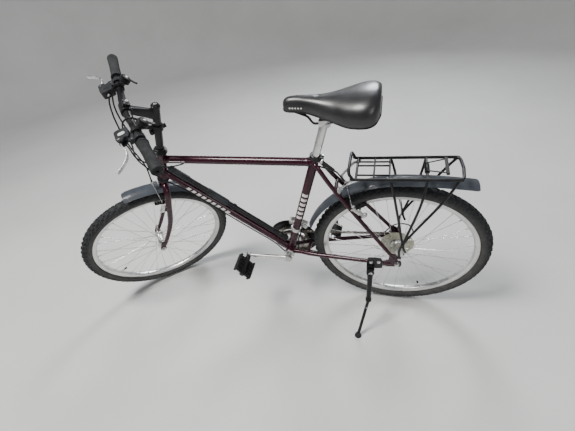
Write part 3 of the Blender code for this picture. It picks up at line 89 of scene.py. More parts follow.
LEANED = (Matrix.Translation(DATUM) @ Euler((LEAN, -NOSE_DOWN, 0.0)).to_matrix().to_4x4()
          @ Matrix.Translation((0.0, 0.0, WHEEL_R - TYRE_HALF)))
TURN = (Matrix.Translation(STEER_FOOT) @ Quaternion(STEER_UP, STEER).to_matrix().to_4x4()
        @ Matrix.Translation(-STEER_FOOT))
STEERED = LEANED @ TURN


def on_steering(height, forward=0.0, y=0.0):
    """A point at a height along the steering axis, so far forward of it."""
    return STEER_FOOT + STEER_UP * height - STEER_BACK * forward + SIDE * y


def on_seat(height, back=0.0, y=0.0):
    """A point at a height along the seat tube, so far behind its centre line."""
    return BB + SEAT_UP * height + SEAT_BACK * back + SIDE * y


def mirrored(point, side):
    """The point itself on the chain side (1), or its mirror image on the left (-1)."""
    return Vector((point[0], point[1] * side, point[2]))


def polar(angle, radius=1.0):
    """A point of the wheel plane at an angle from straight back."""
    return Vector((radius * cos(angle), 0.0, radius * sin(angle)))


# ---- shapes: each is a list of points and a list of faces ----------------------------------
def loft(rings, closed=False):
    """Skin equal rings of points. Open skins get a flat face at each end."""
    n = len(rings[0])
    verts = [Vector(p) for ring in rings for p in ring]
    faces = []
    last = len(rings) if closed else len(rings) - 1
    for i in range(last):
        a = i * n
        b = ((i + 1) % len(rings)) * n
        for j in range(n):
            k = (j + 1) % n
            faces.append((a + j, a + k, b + k, b + j))
    if not closed:
        faces.append(tuple(range(n - 1, -1, -1)))
        faces.append(tuple(range((len(rings) - 1) * n, len(rings) * n)))
    return verts, faces


def directions(points, closed=False, start=None):
    """A pair of directions square to the path at each point, carried along without twisting."""
    pts = [Vector(p) for p in points]
    count = len(pts)
    result = []
    normal = None
    for i in range(count):
        if closed:
            before = pts[i] - pts[i - 1]
            after = pts[(i + 1) % count] - pts[i]
        else:
            before = pts[i] - pts[i - 1] if i > 0 else pts[1] - pts[0]
            after = pts[i + 1] - pts[i] if i < count - 1 else pts[i] - pts[i - 1]
        along = (before.normalized() + after.normalized()).normalized()
        if normal is None:
            normal = Vector(start) if start is not None else along.orthogonal()
        normal = (normal - along * normal.dot(along)).normalized()
        result.append((normal.copy(), along.cross(normal)))
    return result


def around(count):
    """Angles evenly spaced round a full turn."""
    return [2 * pi * k / count for k in range(count)]


def sweep(points, radius, sides=14, closed=False, start=None):
    """A round rod along a path, with one radius or one for each point."""
    radii = radius if isinstance(radius, (list, tuple)) else [radius] * len(points)
    rings = []
    for point, r, (u, v) in zip(points, radii, directions(points, closed, start)):
        rings.append([Vector(point) + (u * cos(a) + v * sin(a)) * r for a in around(sides)])
    return loft(rings, closed)


def strap(points, across, thick, start):
    """A flat bar with eased edges along a path; its width starts out along a direction."""
    a, b = across / 2, thick / 2
    ease = 0.35 * min(a, b)
    section = [(-a, -b + ease), (-a + ease, -b), (a - ease, -b), (a, -b + ease),
               (a, b - ease), (a - ease, b), (-a + ease, b), (-a, b - ease)]
    return loft([[point + (u * x + v * y) for x, y in section]
                 for point, (u, v) in zip(points, directions(points, start=start))])


def rod(a, b, r, sides=20):
    """A straight round rod between two points."""
    return sweep([a, b], r, sides)


def turned(centre, axis, profile, sides=40):
    """Turn a closed profile of (radius, distance along the axis) points. None touches the axis."""
    w = Vector(axis).normalized()
    u = UP if abs(w.dot(UP)) < 0.9 else BACK
    u = (u - w * u.dot(w)).normalized()
    v = w.cross(u)
    ways = [u * cos(a) + v * sin(a) for a in around(sides)]
    return loft([[Vector(centre) + d * r + w * h for r, h in profile] for d in ways], closed=True)


def button(centre, axis, profile, sides=24):
    """A solid of revolution whose ends are flat or domed faces: (radius, distance) rings."""
    w = Vector(axis).normalized()
    u = w.orthogonal().normalized()
    v = w.cross(u)
    return loft([[Vector(centre) + w * h + (u * cos(a) + v * sin(a)) * r for a in around(sides)]
                 for r, h in profile])


def band(bore, outer, half, ease, drop=None):
    """The profile of a band, centred along its axis, with outer edges eased by ease and drop."""
    low = outer - (drop or ease)
    edge = half - ease
    return [(bore, -half), (low, -half), (outer, -edge), (outer, edge), (low, half), (bore, half)]


def barrel(r, length, ease, drop=None):
    """The rings of a plain round barrel whose two ends are eased by ease and drop."""
    low = r - (drop or ease)
    return [(low, 0.0), (r, ease), (r, length - ease), (low, length)]


def nut(centre, axis, across, thick, sides=6):
    """A hexagon nut with its corners chamfered, from its seat outwards."""
    r = across / 2 / cos(pi / sides)
    return button(centre, axis, [(r, 0.0), (r, thick * 0.8), (r * 0.88, thick)], sides)


def rectangle(half_u, half_v):
    """The corners of a rectangle, in order."""
    return [(-half_u, -half_v), (half_u, -half_v), (half_u, half_v), (-half_u, half_v)]


def both_sides(half):
    """An outline from one half of it: the half at -y, then the same at +y on the way back."""
    return [(x, -y) for x, y in half] + [(x, y) for x, y in reversed(half)]


def bolt_head(centre, axis, r, thick):
    """A round head with a domed edge and a socket in its face."""
    profile = [(r, 0.0), (r, thick * 0.7), (r * 0.82, thick), (r * 0.50, thick), (r * 0.45, thick * 0.45)]
    return button(centre, axis, profile, 18)


def disc(centre, axis, inner, outer, thick, sides=48):
    """A flat ring, centred along its axis."""
    h = thick / 2
    return turned(centre, axis, [(inner, -h), (outer, -h), (outer, h), (inner, h)], sides)


def plate(outline, centre, u, v, thick):
    """A flat plate with an outline given along two directions, thickened evenly."""
    w = u.cross(v).normalized() * (thick / 2)
    ring = [Vector(centre) + u * a + v * b for a, b in outline]
    return loft([[p - w for p in ring], [p + w for p in ring]])


def block(centre, size, u=BACK, v=SIDE):
    """A box whose first two sizes lie along u and v."""
    return plate(rectangle(size[0] / 2, size[1] / 2), centre, u, v, size[2])


def smooth_path(points, steps):
    """Points of a smooth curve through the given ones, with the ends kept."""
    pts = [Vector(p) for p in points]
    full = [pts[0] * 2 - pts[1]] + pts + [pts[-1] * 2 - pts[-2]]
    out = []
    for i in range(1, len(full) - 2):
        a, b, c, d = full[i - 1:i + 3]
        for k in range(steps):
            t = k / steps
            out.append(0.5 * ((2 * b) + (c - a) * t + (2 * a - 5 * b + 4 * c - d) * t * t
                              + (3 * b - a - 3 * c + d) * t ** 3))
    out.append(pts[-1])
    return out


def smooth_values(values, steps):
    """Numbers carried along a smooth_path with the same steps."""
    return [v.x for v in smooth_path([(x, 0.0, 0.0) for x in values], steps)]


def round_plate(outline, centre, u, v, thick, steps=4):
    """A plate whose outline is a smooth closed curve through the given points."""
    ring = [Vector((a, b, 0.0)) for a, b in outline]
    curve = smooth_path(ring[-2:] + ring + ring[:2], steps)
    curve = curve[2 * steps:(len(ring) + 2) * steps]
    return plate([(p.x, p.y) for p in curve], centre, u, v, thick)


def toothed(centre, axis, inner, root, tip, teeth, thick):
    """A thin toothed wheel: two points at each tooth's root and two at its rounded tip."""
    w = Vector(axis).normalized()
    v = w.cross(BACK)
    h = w * (thick / 2)
    rings = []
    for k in range(teeth):
        for share, r in ((0.00, root), (0.30, root), (0.50, tip), (0.68, tip)):
            a = 2 * pi * (k + share) / teeth
            d = BACK * cos(a) + v * sin(a)
            hole, edge = centre + d * inner, centre + d * r
            rings.append([hole - h, edge - h, edge + h, hole + h])
    return loft(rings, closed=True)


def rounded_ring(centre, across, wide, through, thick, corner=3.4, count=24):
    """One section with rounded corners: its width runs along across and its thickness through."""
    ring = []
    for a in around(count):
        fat = (abs(cos(a)) ** corner + abs(sin(a)) ** corner) ** (-1 / corner)
        ring.append(centre + across * (wide / 2 * cos(a) * fat) + through * (thick / 2 * sin(a) * fat))
    return ring


def slot_arc(slot):
    """The round top of an axle slot, from its front to its back."""
    return [(-slot * cos(pi * k / 8), slot * sin(pi * k / 8)) for k in range(9)]


def stadium(length, r, waist, waists, steps):
    """The outline of a plate with two round ends, narrower at the shares of its length in waists."""
    outline = []
    for centre, turn in ((0.0, pi / 2), (length, -pi / 2)):
        for j in range(steps + 1):
            w = turn + pi * j / steps
            outline.append((centre + r * cos(w), r * sin(w)))
        if turn > 0:
            outline += [(length * t, -waist) for t in waists]
    return outline + [(length * t, waist) for t in reversed(waists)]


def helix(centre, axis, r, wire, turns, pitch, sides=8):
    """A coil spring wound round an axis, centred on a point."""
    w = Vector(axis).normalized()
    u = w.orthogonal().normalized()
    v = w.cross(u)
    steps = int(turns * 14)
    path = []
    for k in range(steps + 1):
        t = k / steps
        a = 2 * pi * turns * t
        path.append(Vector(centre) + (u * cos(a) + v * sin(a)) * r + w * (pitch * turns * (t - 0.5)))
    return sweep(path, wire, sides)


# ---- materials ------------------------------------------------------------------------------
class Paint:
    """A procedural material: its node tree, with short calls for the nodes used here."""

    def __init__(self, name, metal=0.0, coat=0.0, coat_rough=0.05, ior=1.5):
        self.mat = bpy.data.materials.new(name)
        self.mat.use_nodes = True
        self.tree = self.mat.node_tree
        self.shader = self.tree.nodes["Principled BSDF"]
        self.shader.inputs["Metallic"].default_value = metal
        self.shader.inputs["Coat Weight"].default_value = coat
        self.shader.inputs["Coat Roughness"].default_value = coat_rough
        self.shader.inputs["IOR"].default_value = ior
        self.place = self.node("ShaderNodeTexCoord").outputs["Object"]

    def node(self, kind, **settings):
        new = self.tree.nodes.new(kind)
        for key, value in settings.items():
            setattr(new, key, value)
        return new

    def link(self, source, target):
        self.tree.links.new(source, target)

    def scaled(self, scale):
        new = self.node("ShaderNodeMapping")
        new.inputs["Scale"].default_value = scale
        self.link(self.place, new.inputs["Vector"])
        return new.outputs["Vector"]

    def noise(self, scale, detail=3.0, rough=0.55, where=None):
        new = self.node("ShaderNodeTexNoise")
        new.inputs["Scale"].default_value = scale
        new.inputs["Detail"].default_value = detail
        new.inputs["Roughness"].default_value = rough
        self.link(where or self.place, new.inputs["Vector"])
        return new.outputs["Fac"]

    def cells(self, scale, feature="F1"):
        new = self.node("ShaderNodeTexVoronoi", feature=feature)
        new.inputs["Scale"].default_value = scale
        self.link(self.place, new.inputs["Vector"])
        return new.outputs["Distance"]

    def spread(self, value, low, high, to_low=0.0, to_high=1.0):
        new = self.node("ShaderNodeMapRange")
        self.link(value, new.inputs["Value"])
        new.inputs["From Min"].default_value = low
        new.inputs["From Max"].default_value = high
        new.inputs["To Min"].default_value = to_low
        new.inputs["To Max"].default_value = to_high
        return new.outputs["Result"]

    def maths(self, operation, a, b=None):
        new = self.node("ShaderNodeMath", operation=operation)
        for k, value in enumerate((a, b)):
            if isinstance(value, (int, float)):
                new.inputs[k].default_value = value
            elif value is not None:
                self.link(value, new.inputs[k])
        return new.outputs["Value"]

    def times(self, a, b):
        return self.maths("MULTIPLY", a, b)

    def vector(self, operation, a, b=None):
        """A vector operation on a socket and, where asked, a constant."""
        new = self.node("ShaderNodeVectorMath", operation=operation)
        self.link(a, new.inputs[0])
        if b is not None:
            new.inputs[1].default_value = b
        return new.outputs

    def along(self, point, direction):
        """How far the surface point lies from a point, along a direction."""
        away = self.vector("SUBTRACT", self.place, LEANED @ Vector(point))["Vector"]
        return self.vector("DOT_PRODUCT", away, LEANED.to_3x3() @ Vector(direction))["Value"]

    def radius(self, wheel):
        """How far the surface point lies from a wheel's axle line."""
        away = self.vector("SUBTRACT", self.place, wheel.translation)["Vector"]
        across = self.vector("CROSS_PRODUCT", away, wheel.to_3x3() @ SIDE)["Vector"]
        return self.vector("LENGTH", across)["Value"]

    def between(self, value, low, high):
        """1 where a value is between two limits, else 0."""
        return self.times(self.maths("GREATER_THAN", value, low), self.maths("LESS_THAN", value, high))

    def stripes(self, value, low, high, step, share):
        """1 on even stripes between two limits, each filling a share of its step, else 0."""
        phase = self.maths("FRACT", self.maths("DIVIDE", self.maths("SUBTRACT", value, low), step))
        return self.times(self.maths("LESS_THAN", phase, share), self.between(value, low, high))

    def mix(self, factor, a, b):
        new = self.node("ShaderNodeMix", data_type="RGBA")
        self.link(factor, new.inputs["Factor"])
        for key, value in (("A", a), ("B", b)):
            socket = [s for s in new.inputs if s.name == key and s.type == "RGBA"][0]
            if isinstance(value, tuple):
                socket.default_value = (*value, 1.0)
            else:
                self.link(value, socket)
        return [s for s in new.outputs if s.type == "RGBA"][0]

    def colour(self, value):
        self.link(value, self.shader.inputs["Base Color"])

    def rough(self, value):
        self.link(value, self.shader.inputs["Roughness"])

    def bump(self, height, strength, distance):
        new = self.node("ShaderNodeBump")
        new.inputs["Strength"].default_value = strength
        new.inputs["Distance"].default_value = distance
        self.link(height, new.inputs["Height"])
        self.link(new.outputs["Normal"], self.shader.inputs["Normal"])


MATTE_GLOSS = 0.20
LACQUER_GLOSS = 0.25


def basic(name, dark, light, metal=0.0, rough=(0.3, 0.5), cloud=18.0, grain=900.0, strength=0.15,
          depth=0.0003, coat=0.0, dust=None, dust_from=0.58, brushed=None):
    """A surface with cloudy colour, uneven gloss, fine grain and, where asked, dust or brushing."""
    p = Paint(name, metal, coat)
    if metal < 1.0:
        p.shader.inputs["Specular IOR Level"].default_value = MATTE_GLOSS
    clouds = p.noise(cloud, 4.0)
    base = p.mix(p.spread(clouds, 0.35, 0.65), dark, light)
    fine = p.noise(grain, 2.0)
    if brushed:
        fine = p.noise(grain, 2.0, where=p.scaled(brushed))
    gloss = p.spread(p.noise(cloud * 6.0, 3.0), 0.3, 0.7, rough[0], rough[1])
    if dust:
        specks = p.spread(p.noise(cloud * 9.0, 6.0, 0.7), dust_from, dust_from + 0.16)
        base = p.mix(specks, base, dust)
    p.colour(base)
    p.rough(gloss)
    p.bump(fine, strength, depth)
    return p


def lacquer(name):
    """Deep maroon metallic lacquer with fine flake and a few chips: the material and its colour."""
    p = Paint(name, metal=0.15, coat=0.35, coat_rough=0.05)
    p.shader.inputs["Specular IOR Level"].default_value = LACQUER_GLOSS
    clouds = p.noise(9.0, 3.0)
    base = p.mix(p.spread(clouds, 0.3, 0.7), (0.016, 0.0008, 0.0050), (0.032, 0.0016, 0.0110))
    sparkle = p.times(p.spread(p.cells(2600.0), 0.0, 0.35, 1.0, 0.0), 0.30)
    base = p.mix(sparkle, base, (0.110, 0.010, 0.060))
    chips = p.spread(p.noise(140.0, 6.0, 0.75), 0.735, 0.755)
    base = p.mix(chips, base, (0.045, 0.035, 0.035))
    p.rough(p.spread(p.noise(60.0, 4.0), 0.3, 0.7, 0.22, 0.36))
    return p, base


def painted_frame():
    """The lacquer with plain pale bars on the down tube, the seat tube and the top tube."""
    p, base = lacquer("paint_maroon")
    run = p.along(DOWN_TUBE[0], DOWN_ALONG)
    high = p.along(DOWN_TUBE[0], DOWN_OUT)
    slant = p.maths("ADD", run, p.times(high, -0.45))
    bars = p.times(p.stripes(slant, BAR_FROM, BAR_TO, BAR_STEP, 0.62), p.between(high, -0.0100, 0.0080))
    lift = p.along(BB, SEAT_UP)
    behind = p.between(p.along(BB, SEAT_BACK), -0.0105, 0.0105)
    rungs = p.times(p.stripes(lift, RUNG_FROM, RUNG_TO, RUNG_STEP, 0.56), behind)
    reach = p.along(TOP_TUBE[0], TOP_ALONG)
    level = p.along(TOP_TUBE[0], TOP_OUT)
    line = p.times(p.between(reach, 0.035, 0.100), p.between(level, -0.0010, 0.0018))
    marks = p.maths("MAXIMUM", p.maths("MAXIMUM", bars, rungs), line)
    worn = p.spread(p.noise(420.0, 4.0, 0.7), 0.30, 0.42)
    p.colour(p.mix(p.times(marks, worn), base, (0.72, 0.70, 0.68)))
    return p


def painted_fork():
    """The same lacquer without marks, for the fork."""
    p, base = lacquer("paint_maroon_fork")
    p.colour(base)
    return p


def machined_rim(end, wheel):
    """Pale alloy rim: fine turning lines round the wheel, with cloudy tone and a little darker grime."""
    p = Paint(end + "_rim_alloy", metal=1.0)
    lines = p.node("ShaderNodeTexNoise", noise_dimensions="1D")
    lines.inputs["Scale"].default_value = 2600.0
    p.link(p.radius(wheel), lines.inputs["W"])
    base = p.mix(p.spread(p.noise(14.0, 4.0), 0.35, 0.65), (0.62, 0.62, 0.61), (0.80, 0.80, 0.79))
    grime = p.spread(p.noise(120.0, 6.0, 0.7), 0.60, 0.74)
    p.colour(p.mix(grime, base, (0.30, 0.28, 0.26)))
    p.rough(p.spread(p.noise(40.0, 3.0), 0.3, 0.7, 0.26, 0.42))
    p.bump(lines.outputs["Fac"], 0.25, 0.00015)
    return p


def tyre_rubber(end, wheel):
    """Black rubber, dusty grey-brown on its smooth sidewalls and dark on the tread."""
    p = Paint(end + "_tyre_rubber", ior=1.45)
    wall = p.spread(p.radius(wheel), 0.2870, 0.3170, 1.0, 0.0)
    dusty = p.times(wall, p.spread(p.noise(26.0, 5.0, 0.65), 0.25, 0.75, 0.35, 1.0))
    base = p.mix(dusty, (0.016, 0.017, 0.019), (0.082, 0.080, 0.076))
    specks = p.spread(p.noise(260.0, 5.0, 0.7), 0.60, 0.72)
    p.colour(p.mix(p.times(specks, 0.55), base, (0.16, 0.15, 0.135)))
    p.rough(p.spread(p.noise(90.0, 3.0), 0.3, 0.7, 0.68, 0.92))
    p.bump(p.noise(900.0, 3.0), 0.35, 0.0004)
    return p


def saddle_vinyl():
    """Black grained vinyl: a leather-like cell grain, satin, a little greyer where it is rubbed."""
    p = Paint("saddle_vinyl", coat=0.30, coat_rough=0.20)
    rubbed = p.spread(p.noise(16.0, 4.0), 0.38, 0.66)
    base = p.mix(rubbed, (0.007, 0.007, 0.008), (0.017, 0.017, 0.019))
    dust = p.spread(p.noise(240.0, 6.0, 0.72), 0.66, 0.80)
    p.colour(p.mix(p.times(dust, 0.4), base, (0.12, 0.12, 0.12)))
    grain = p.maths("ADD", p.cells(900.0, "SMOOTH_F1"), p.times(p.noise(1700.0, 2.0), 0.4))
    p.rough(p.spread(p.noise(35.0, 3.0), 0.3, 0.7, 0.32, 0.46))
    p.bump(grain, 0.30, 0.00035)
    return p


def clear_yellowed():
    """Thin clear plastic that has aged to a dull straw colour."""
    p = Paint("plastic_yellowed", ior=1.46)
    base = p.mix(p.spread(p.noise(22.0, 4.0), 0.3, 0.7), (0.52, 0.51, 0.36), (0.70, 0.70, 0.54))
    p.colour(p.mix(p.spread(p.noise(200.0, 5.0, 0.7), 0.62, 0.76), base, (0.36, 0.34, 0.24)))
    p.rough(p.spread(p.noise(60.0, 3.0), 0.3, 0.7, 0.22, 0.42))
    p.shader.inputs["Transmission Weight"].default_value = 0.35
    p.bump(p.noise(500.0, 2.0), 0.08, 0.0002)
    return p


# ---- objects --------------------------------------------------------------------------------
def mesh_from(name, shapes):
    """One mesh from several shapes, its faces turned outwards."""
    mesh = bpy.data.meshes.new(name)
    points = []
    faces = []
    for verts, polys in shapes:
        base = len(points)
        points += [tuple(p) for p in verts]
        faces += [tuple(base + i for i in poly) for poly in polys]
    mesh.from_pydata(points, [], faces)
    skin = bmesh.new()
    skin.from_mesh(mesh)
    bmesh.ops.recalc_face_normals(skin, faces=skin.faces)
    skin.to_mesh(mesh)
    skin.free()
    return mesh


def piece(name, shapes, paint, body, place=None, stands_for=(), edge=0.0, smooth=34.0):
    """A visible piece: its shapes in one mesh, edges eased, riding on a body of the frame."""
    mesh = mesh_from(name, shapes)
    mesh.shade_smooth()
    mesh.set_sharp_from_angle(angle=radians(smooth))
    mesh.materials.append(paint.mat)
    obj = bpy.data.objects.new(name, mesh)
    bpy.context.scene.collection.objects.link(obj)
    mesh.transform(LEANED if place is None else place)
    if edge:
        ease = obj.modifiers.new("eased_edges", "BEVEL")
        ease.width = edge
        ease.segments = 2
        ease.limit_method = "ANGLE"
        ease.angle_limit = radians(smooth + 6.0)
        ease.harden_normals = True
    if isinstance(body, str):
        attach(obj, body)
    else:
        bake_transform(obj)
    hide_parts(*stands_for)
    return obj


# ---- tube lines shared with the CAD ---------------------------------------------------------
HEAD_LOW = CROWN_RACE + STACK
HEAD_HIGH = HEAD_LOW + HEAD_TUBE_LEN
STAY_Y = 0.0705
TOP_TUBE = (on_steering(HEAD_HIGH - 0.0318, -0.004), on_seat(SEAT_TUBE_LEN - 0.030))
DOWN_TUBE = (on_steering(HEAD_LOW + 0.0337, -0.004), BB + Vector((-0.004, 0.0, 0.004)))
TOP_TUBE_R = 0.0143
DOWN_TUBE_R = 0.0159
SEAT_TUBE_R = 0.0156
DROP_IN = 0.0675
DROP_THICK = 0.0060
FRONT_BOSS = 0.253
REAR_BOSS = 0.253
BOSS_Y = 0.0440
REAR_COLLAR = 0.0135
FRONT_COLLAR = 0.0160
DOWN_ALONG = (DOWN_TUBE[1] - DOWN_TUBE[0]).normalized()
DOWN_OUT = Vector((-DOWN_ALONG.z, 0.0, DOWN_ALONG.x))
TOP_ALONG = (TOP_TUBE[1] - TOP_TUBE[0]).normalized()
TOP_OUT = Vector((-TOP_ALONG.z, 0.0, TOP_ALONG.x))
STAY_LOW = Vector((-0.014, 0.0, 0.030))
STAY_HIGH = on_seat(SEAT_TUBE_LEN - 0.030)
STAY_DIR = (STAY_HIGH - STAY_LOW).normalized()
STAY_NORMAL = Vector((STAY_DIR.z, 0.0, -STAY_DIR.x))
BAR_FROM, BAR_TO, BAR_STEP = 0.108, 0.306, 0.0220
RUNG_FROM, RUNG_TO, RUNG_STEP = 0.205, 0.350, 0.0242


def stay_point(distance, normal=0.0, y=0.0):
    """A point so far up the seat stays from the axle, and so far behind them."""
    return STAY_LOW + STAY_DIR * (distance - STAY_LOW.length) + STAY_NORMAL * normal + SIDE * y


def down_tube_point(distance, out=0.0, y=0.0):
    """A point so far along the down tube from its top, and so far above and beside it."""
    return DOWN_TUBE[0] + DOWN_ALONG * distance + DOWN_OUT * out + SIDE * y


def brake_boss(end, side):
    """The foot of a brake boss, on the centre line of a fork leg or a seat stay."""
    if end == "front":
        return on_steering(FRONT_BOSS, 0.0, side * BOSS_Y)
    return stay_point(REAR_BOSS, 0.0, side * BOSS_Y)


LACQUER = painted_frame()
FORK_LACQUER = painted_fork()
WHEEL_AT = {"front": STEERED @ Matrix.Translation(FRONT_AXLE), "rear": LEANED}
RIM_ALLOY = {end: machined_rim(end, place) for end, place in WHEEL_AT.items()}
TYRE = {end: tyre_rubber(end, place) for end, place in WHEEL_AT.items()}
VINYL = saddle_vinyl()
YELLOWED = clear_yellowed()
CHROME = basic("chromed_steel", (0.55, 0.55, 0.55), (0.74, 0.74, 0.73), 1.0, (0.16, 0.34), 40.0,
               1200.0, 0.08, 0.0001, dust=(0.30, 0.27, 0.24), dust_from=0.66)
POLISHED = basic("polished_alloy", (0.60, 0.60, 0.59), (0.76, 0.76, 0.75), 1.0, (0.24, 0.42), 22.0, 600.0,
                 0.20, 0.00015, dust=(0.36, 0.34, 0.31), dust_from=0.66, brushed=(0.25, 1.0, 1.0))
CAST = basic("cast_alloy", (0.46, 0.46, 0.46), (0.68, 0.68, 0.67), 1.0, (0.34, 0.55), 60.0, 900.0,
             0.25, 0.0003, dust=(0.22, 0.20, 0.18), dust_from=0.60)
BLACK = basic("satin_black_paint", (0.005, 0.005, 0.006), (0.012, 0.012, 0.013), 0.0, (0.28, 0.46), 30.0,
              800.0, 0.10, 0.0002, coat=0.15, dust=(0.07, 0.068, 0.065), dust_from=0.68)
RACK_BLACK = basic("rack_black_enamel", (0.005, 0.005, 0.006), (0.014, 0.014, 0.015), 0.0, (0.28, 0.48),
                   24.0, 700.0, 0.18, 0.0003, coat=0.15, dust=(0.09, 0.08, 0.065), dust_from=0.66)
RUBBER = basic("grip_rubber", (0.014, 0.015, 0.016), (0.032, 0.034, 0.036), 0.0, (0.62, 0.88), 30.0, 1100.0,
               0.40, 0.0004, dust=(0.09, 0.09, 0.088), dust_from=0.66)
PUMP_GREY = basic("pump_grey_plastic", (0.010, 0.011, 0.013), (0.024, 0.027, 0.031), 0.0, (0.32, 0.52), 16.0,
                  700.0, 0.15, 0.0003, coat=0.15, dust=(0.12, 0.12, 0.115), dust_from=0.64)
PAD = basic("brake_pad_rubber", (0.012, 0.012, 0.012), (0.030, 0.029, 0.028), 0.0, (0.7, 0.95), 60.0, 900.0,
            0.40, 0.0004, dust=(0.12, 0.11, 0.10), dust_from=0.60)
GUARD = basic("mudguard_plastic", (0.028, 0.033, 0.041), (0.058, 0.067, 0.080), 0.0, (0.34, 0.56), 12.0,
              650.0, 0.15, 0.0003, coat=0.15, dust=(0.15, 0.15, 0.145), dust_from=0.62)
PLASTIC = basic("moulded_black_plastic", (0.006, 0.006, 0.007), (0.016, 0.016, 0.017), 0.0, (0.34, 0.56),
                35.0, 1300.0, 0.30, 0.0003, dust=(0.08, 0.08, 0.077), dust_from=0.67)
SMOKE = basic("lever_grey_plastic", (0.012, 0.013, 0.015), (0.026, 0.028, 0.031), 0.0, (0.36, 0.58),
              35.0, 1300.0, 0.30, 0.0003, dust=(0.09, 0.09, 0.088), dust_from=0.67)
PALE = basic("pale_label", (0.48, 0.48, 0.47), (0.66, 0.66, 0.65), 0.0, (0.40, 0.60), 60.0, 700.0,
             0.06, 0.0001, dust=(0.22, 0.21, 0.20), dust_from=0.60)
HOUSING = basic("cable_housing", (0.005, 0.005, 0.006), (0.014, 0.014, 0.015), 0.0, (0.30, 0.46), 40.0,
                900.0, 0.12, 0.0002, dust=(0.08, 0.077, 0.074), dust_from=0.68)
CHAIN = basic("oiled_chain_steel", (0.055, 0.048, 0.042), (0.20, 0.18, 0.16), 1.0, (0.30, 0.62), 90.0,
              900.0, 0.30, 0.0003, dust=(0.045, 0.036, 0.028), dust_from=0.54)
COG = basic("sprocket_steel", (0.13, 0.115, 0.10), (0.36, 0.34, 0.31), 1.0, (0.28, 0.55), 70.0, 900.0,
            0.25, 0.0003, dust=(0.07, 0.058, 0.046), dust_from=0.55)


# ---- wheels ---------------------------------------------------------------------------------
AXLE_R = 0.0050
RIM_INNER = 0.2680
SPOKES = 36
SPOKE_LEAD = radians(58.0)
SPOKE_ZIGZAG = 0.0016
CASING_R = 0.0222
CASING_AT = 0.3020
TREAD_TOP = 0.3276
PITCHES = 68


def tyre_shapes():
    """A round casing with beads, and a tread of paired centre blocks and shoulder blocks."""
    section = [(0.2862, -0.0102), (0.2890, -0.0128)]
    for k in range(21):
        a = radians(-122.0 + 244.0 * k / 20)
        section.append((CASING_AT + CASING_R * cos(a), CASING_R * sin(a)))
    section += [(0.2890, 0.0128), (0.2862, 0.0102)]
    shapes = [turned(ORIGIN, SIDE, section, 144)]
    for side in (-1, 1):
        for r, y in ((0.2945, 0.0202), (0.3125, 0.0192)):
            ring = [(r - 0.0007, y), (r, y + 0.0008), (r + 0.0007, y), (r, y - 0.0012)]
            shapes.append(turned(ORIGIN, SIDE, [(a, side * b) for a, b in ring], 144))
    half = pi / PITCHES
    for k, a in enumerate(around(PITCHES)):
        shapes.append(knob(a, -11.0, 0.0066, 0.0098, 4.0))
        shapes.append(knob(a + half * 0.25, 11.0, 0.0066, 0.0098, -4.0))
        for side in (-1, 1):
            shapes.append(knob(a + half, side * 31.0, 0.0072, 0.0118, side * 10.0))
            shapes.append(knob(a + half * (0.2 if k % 2 else 0.0), side * 53.0, 0.0085, 0.0088, 0.0))
            shapes.append(knob(a + half, side * 70.0, 0.0044, 0.0070, 0.0))
    return shapes


def knob(angle, lean, wide, length, skew):
    """A tapered rubber block standing on the casing: lean is its angle round the section."""
    b = radians(lean)
    s = radians(skew)
    out = polar(angle)
    forward = Vector((-sin(angle), 0.0, cos(angle)))
    normal = out * cos(b) + SIDE * sin(b)
    across = SIDE * cos(b) - out * sin(b)
    foot = out * CASING_AT + normal * (CASING_R - 0.0010)
    height = TREAD_TOP - CASING_AT - CASING_R if abs(lean) < 15.0 else 0.0028
    top = foot + normal * (height + 0.0010)
    u = forward * cos(s) + across * sin(s)
    v = across * cos(s) - forward * sin(s)
    rings = []
    for centre, size in ((foot, 1.18), (top - normal * 0.0005, 0.98), (top, 0.80)):
        corners = rectangle(length / 2 * size, wide / 2 * size)
        rings.append([centre + u * x + v * y for x, y in corners])
    return loft(rings)


def rim_shapes():
    """A box rim with hooked edges, spoke eyelets and a plain inner wall."""
    half = [(RIM_INNER, 0.0), (RIM_INNER, 0.0045), (0.2692, 0.0078), (0.2722, 0.0106), (0.2742, 0.0117),
            (0.2858, 0.0121), (0.2868, 0.0115), (0.2868, 0.0104), (0.2850, 0.0098), (0.2790, 0.0094),
            (0.2775, 0.0060), (0.2765, 0.0)]
    section = half + [(r, -y) for r, y in reversed(half[1:-1])]
    shapes = [turned(ORIGIN, SIDE, section, 144)]
    eyelet = [(0.0023, -0.0012), (0.0036, -0.0010), (0.0036, 0.0004), (0.0023, 0.0004)]
    for k, a in enumerate(around(SPOKES)):
        y = SPOKE_ZIGZAG if k % 2 else -SPOKE_ZIGZAG
        shapes.append(turned(polar(a, RIM_INNER) - SIDE * y, polar(a), eyelet, 12))
    return shapes


def hub_shapes(left, right, flange_r, shell_r):
    """A hub shell: a flange and a bearing shoulder at each end of a barrel with a slight waist."""
    bore = AXLE_R + 0.0008
    edge = 0.0018
    end = [(bore, -0.0042), (0.0112, -0.0042), (0.0124, -0.0030), (0.0135, -edge), (flange_r - 0.001, -edge),
           (flange_r, -edge * 0.5), (flange_r, edge * 0.5), (flange_r - 0.001, edge), (shell_r + 0.004, edge),
           (shell_r + 0.001, 0.005), (shell_r, 0.010)]
    profile = [(r, left + y) for r, y in end] + [(shell_r - 0.001, (left + right) / 2)]
    profile += [(r, right - y) for r, y in reversed(end)]
    return [turned(ORIGIN, SIDE, profile, 48)]


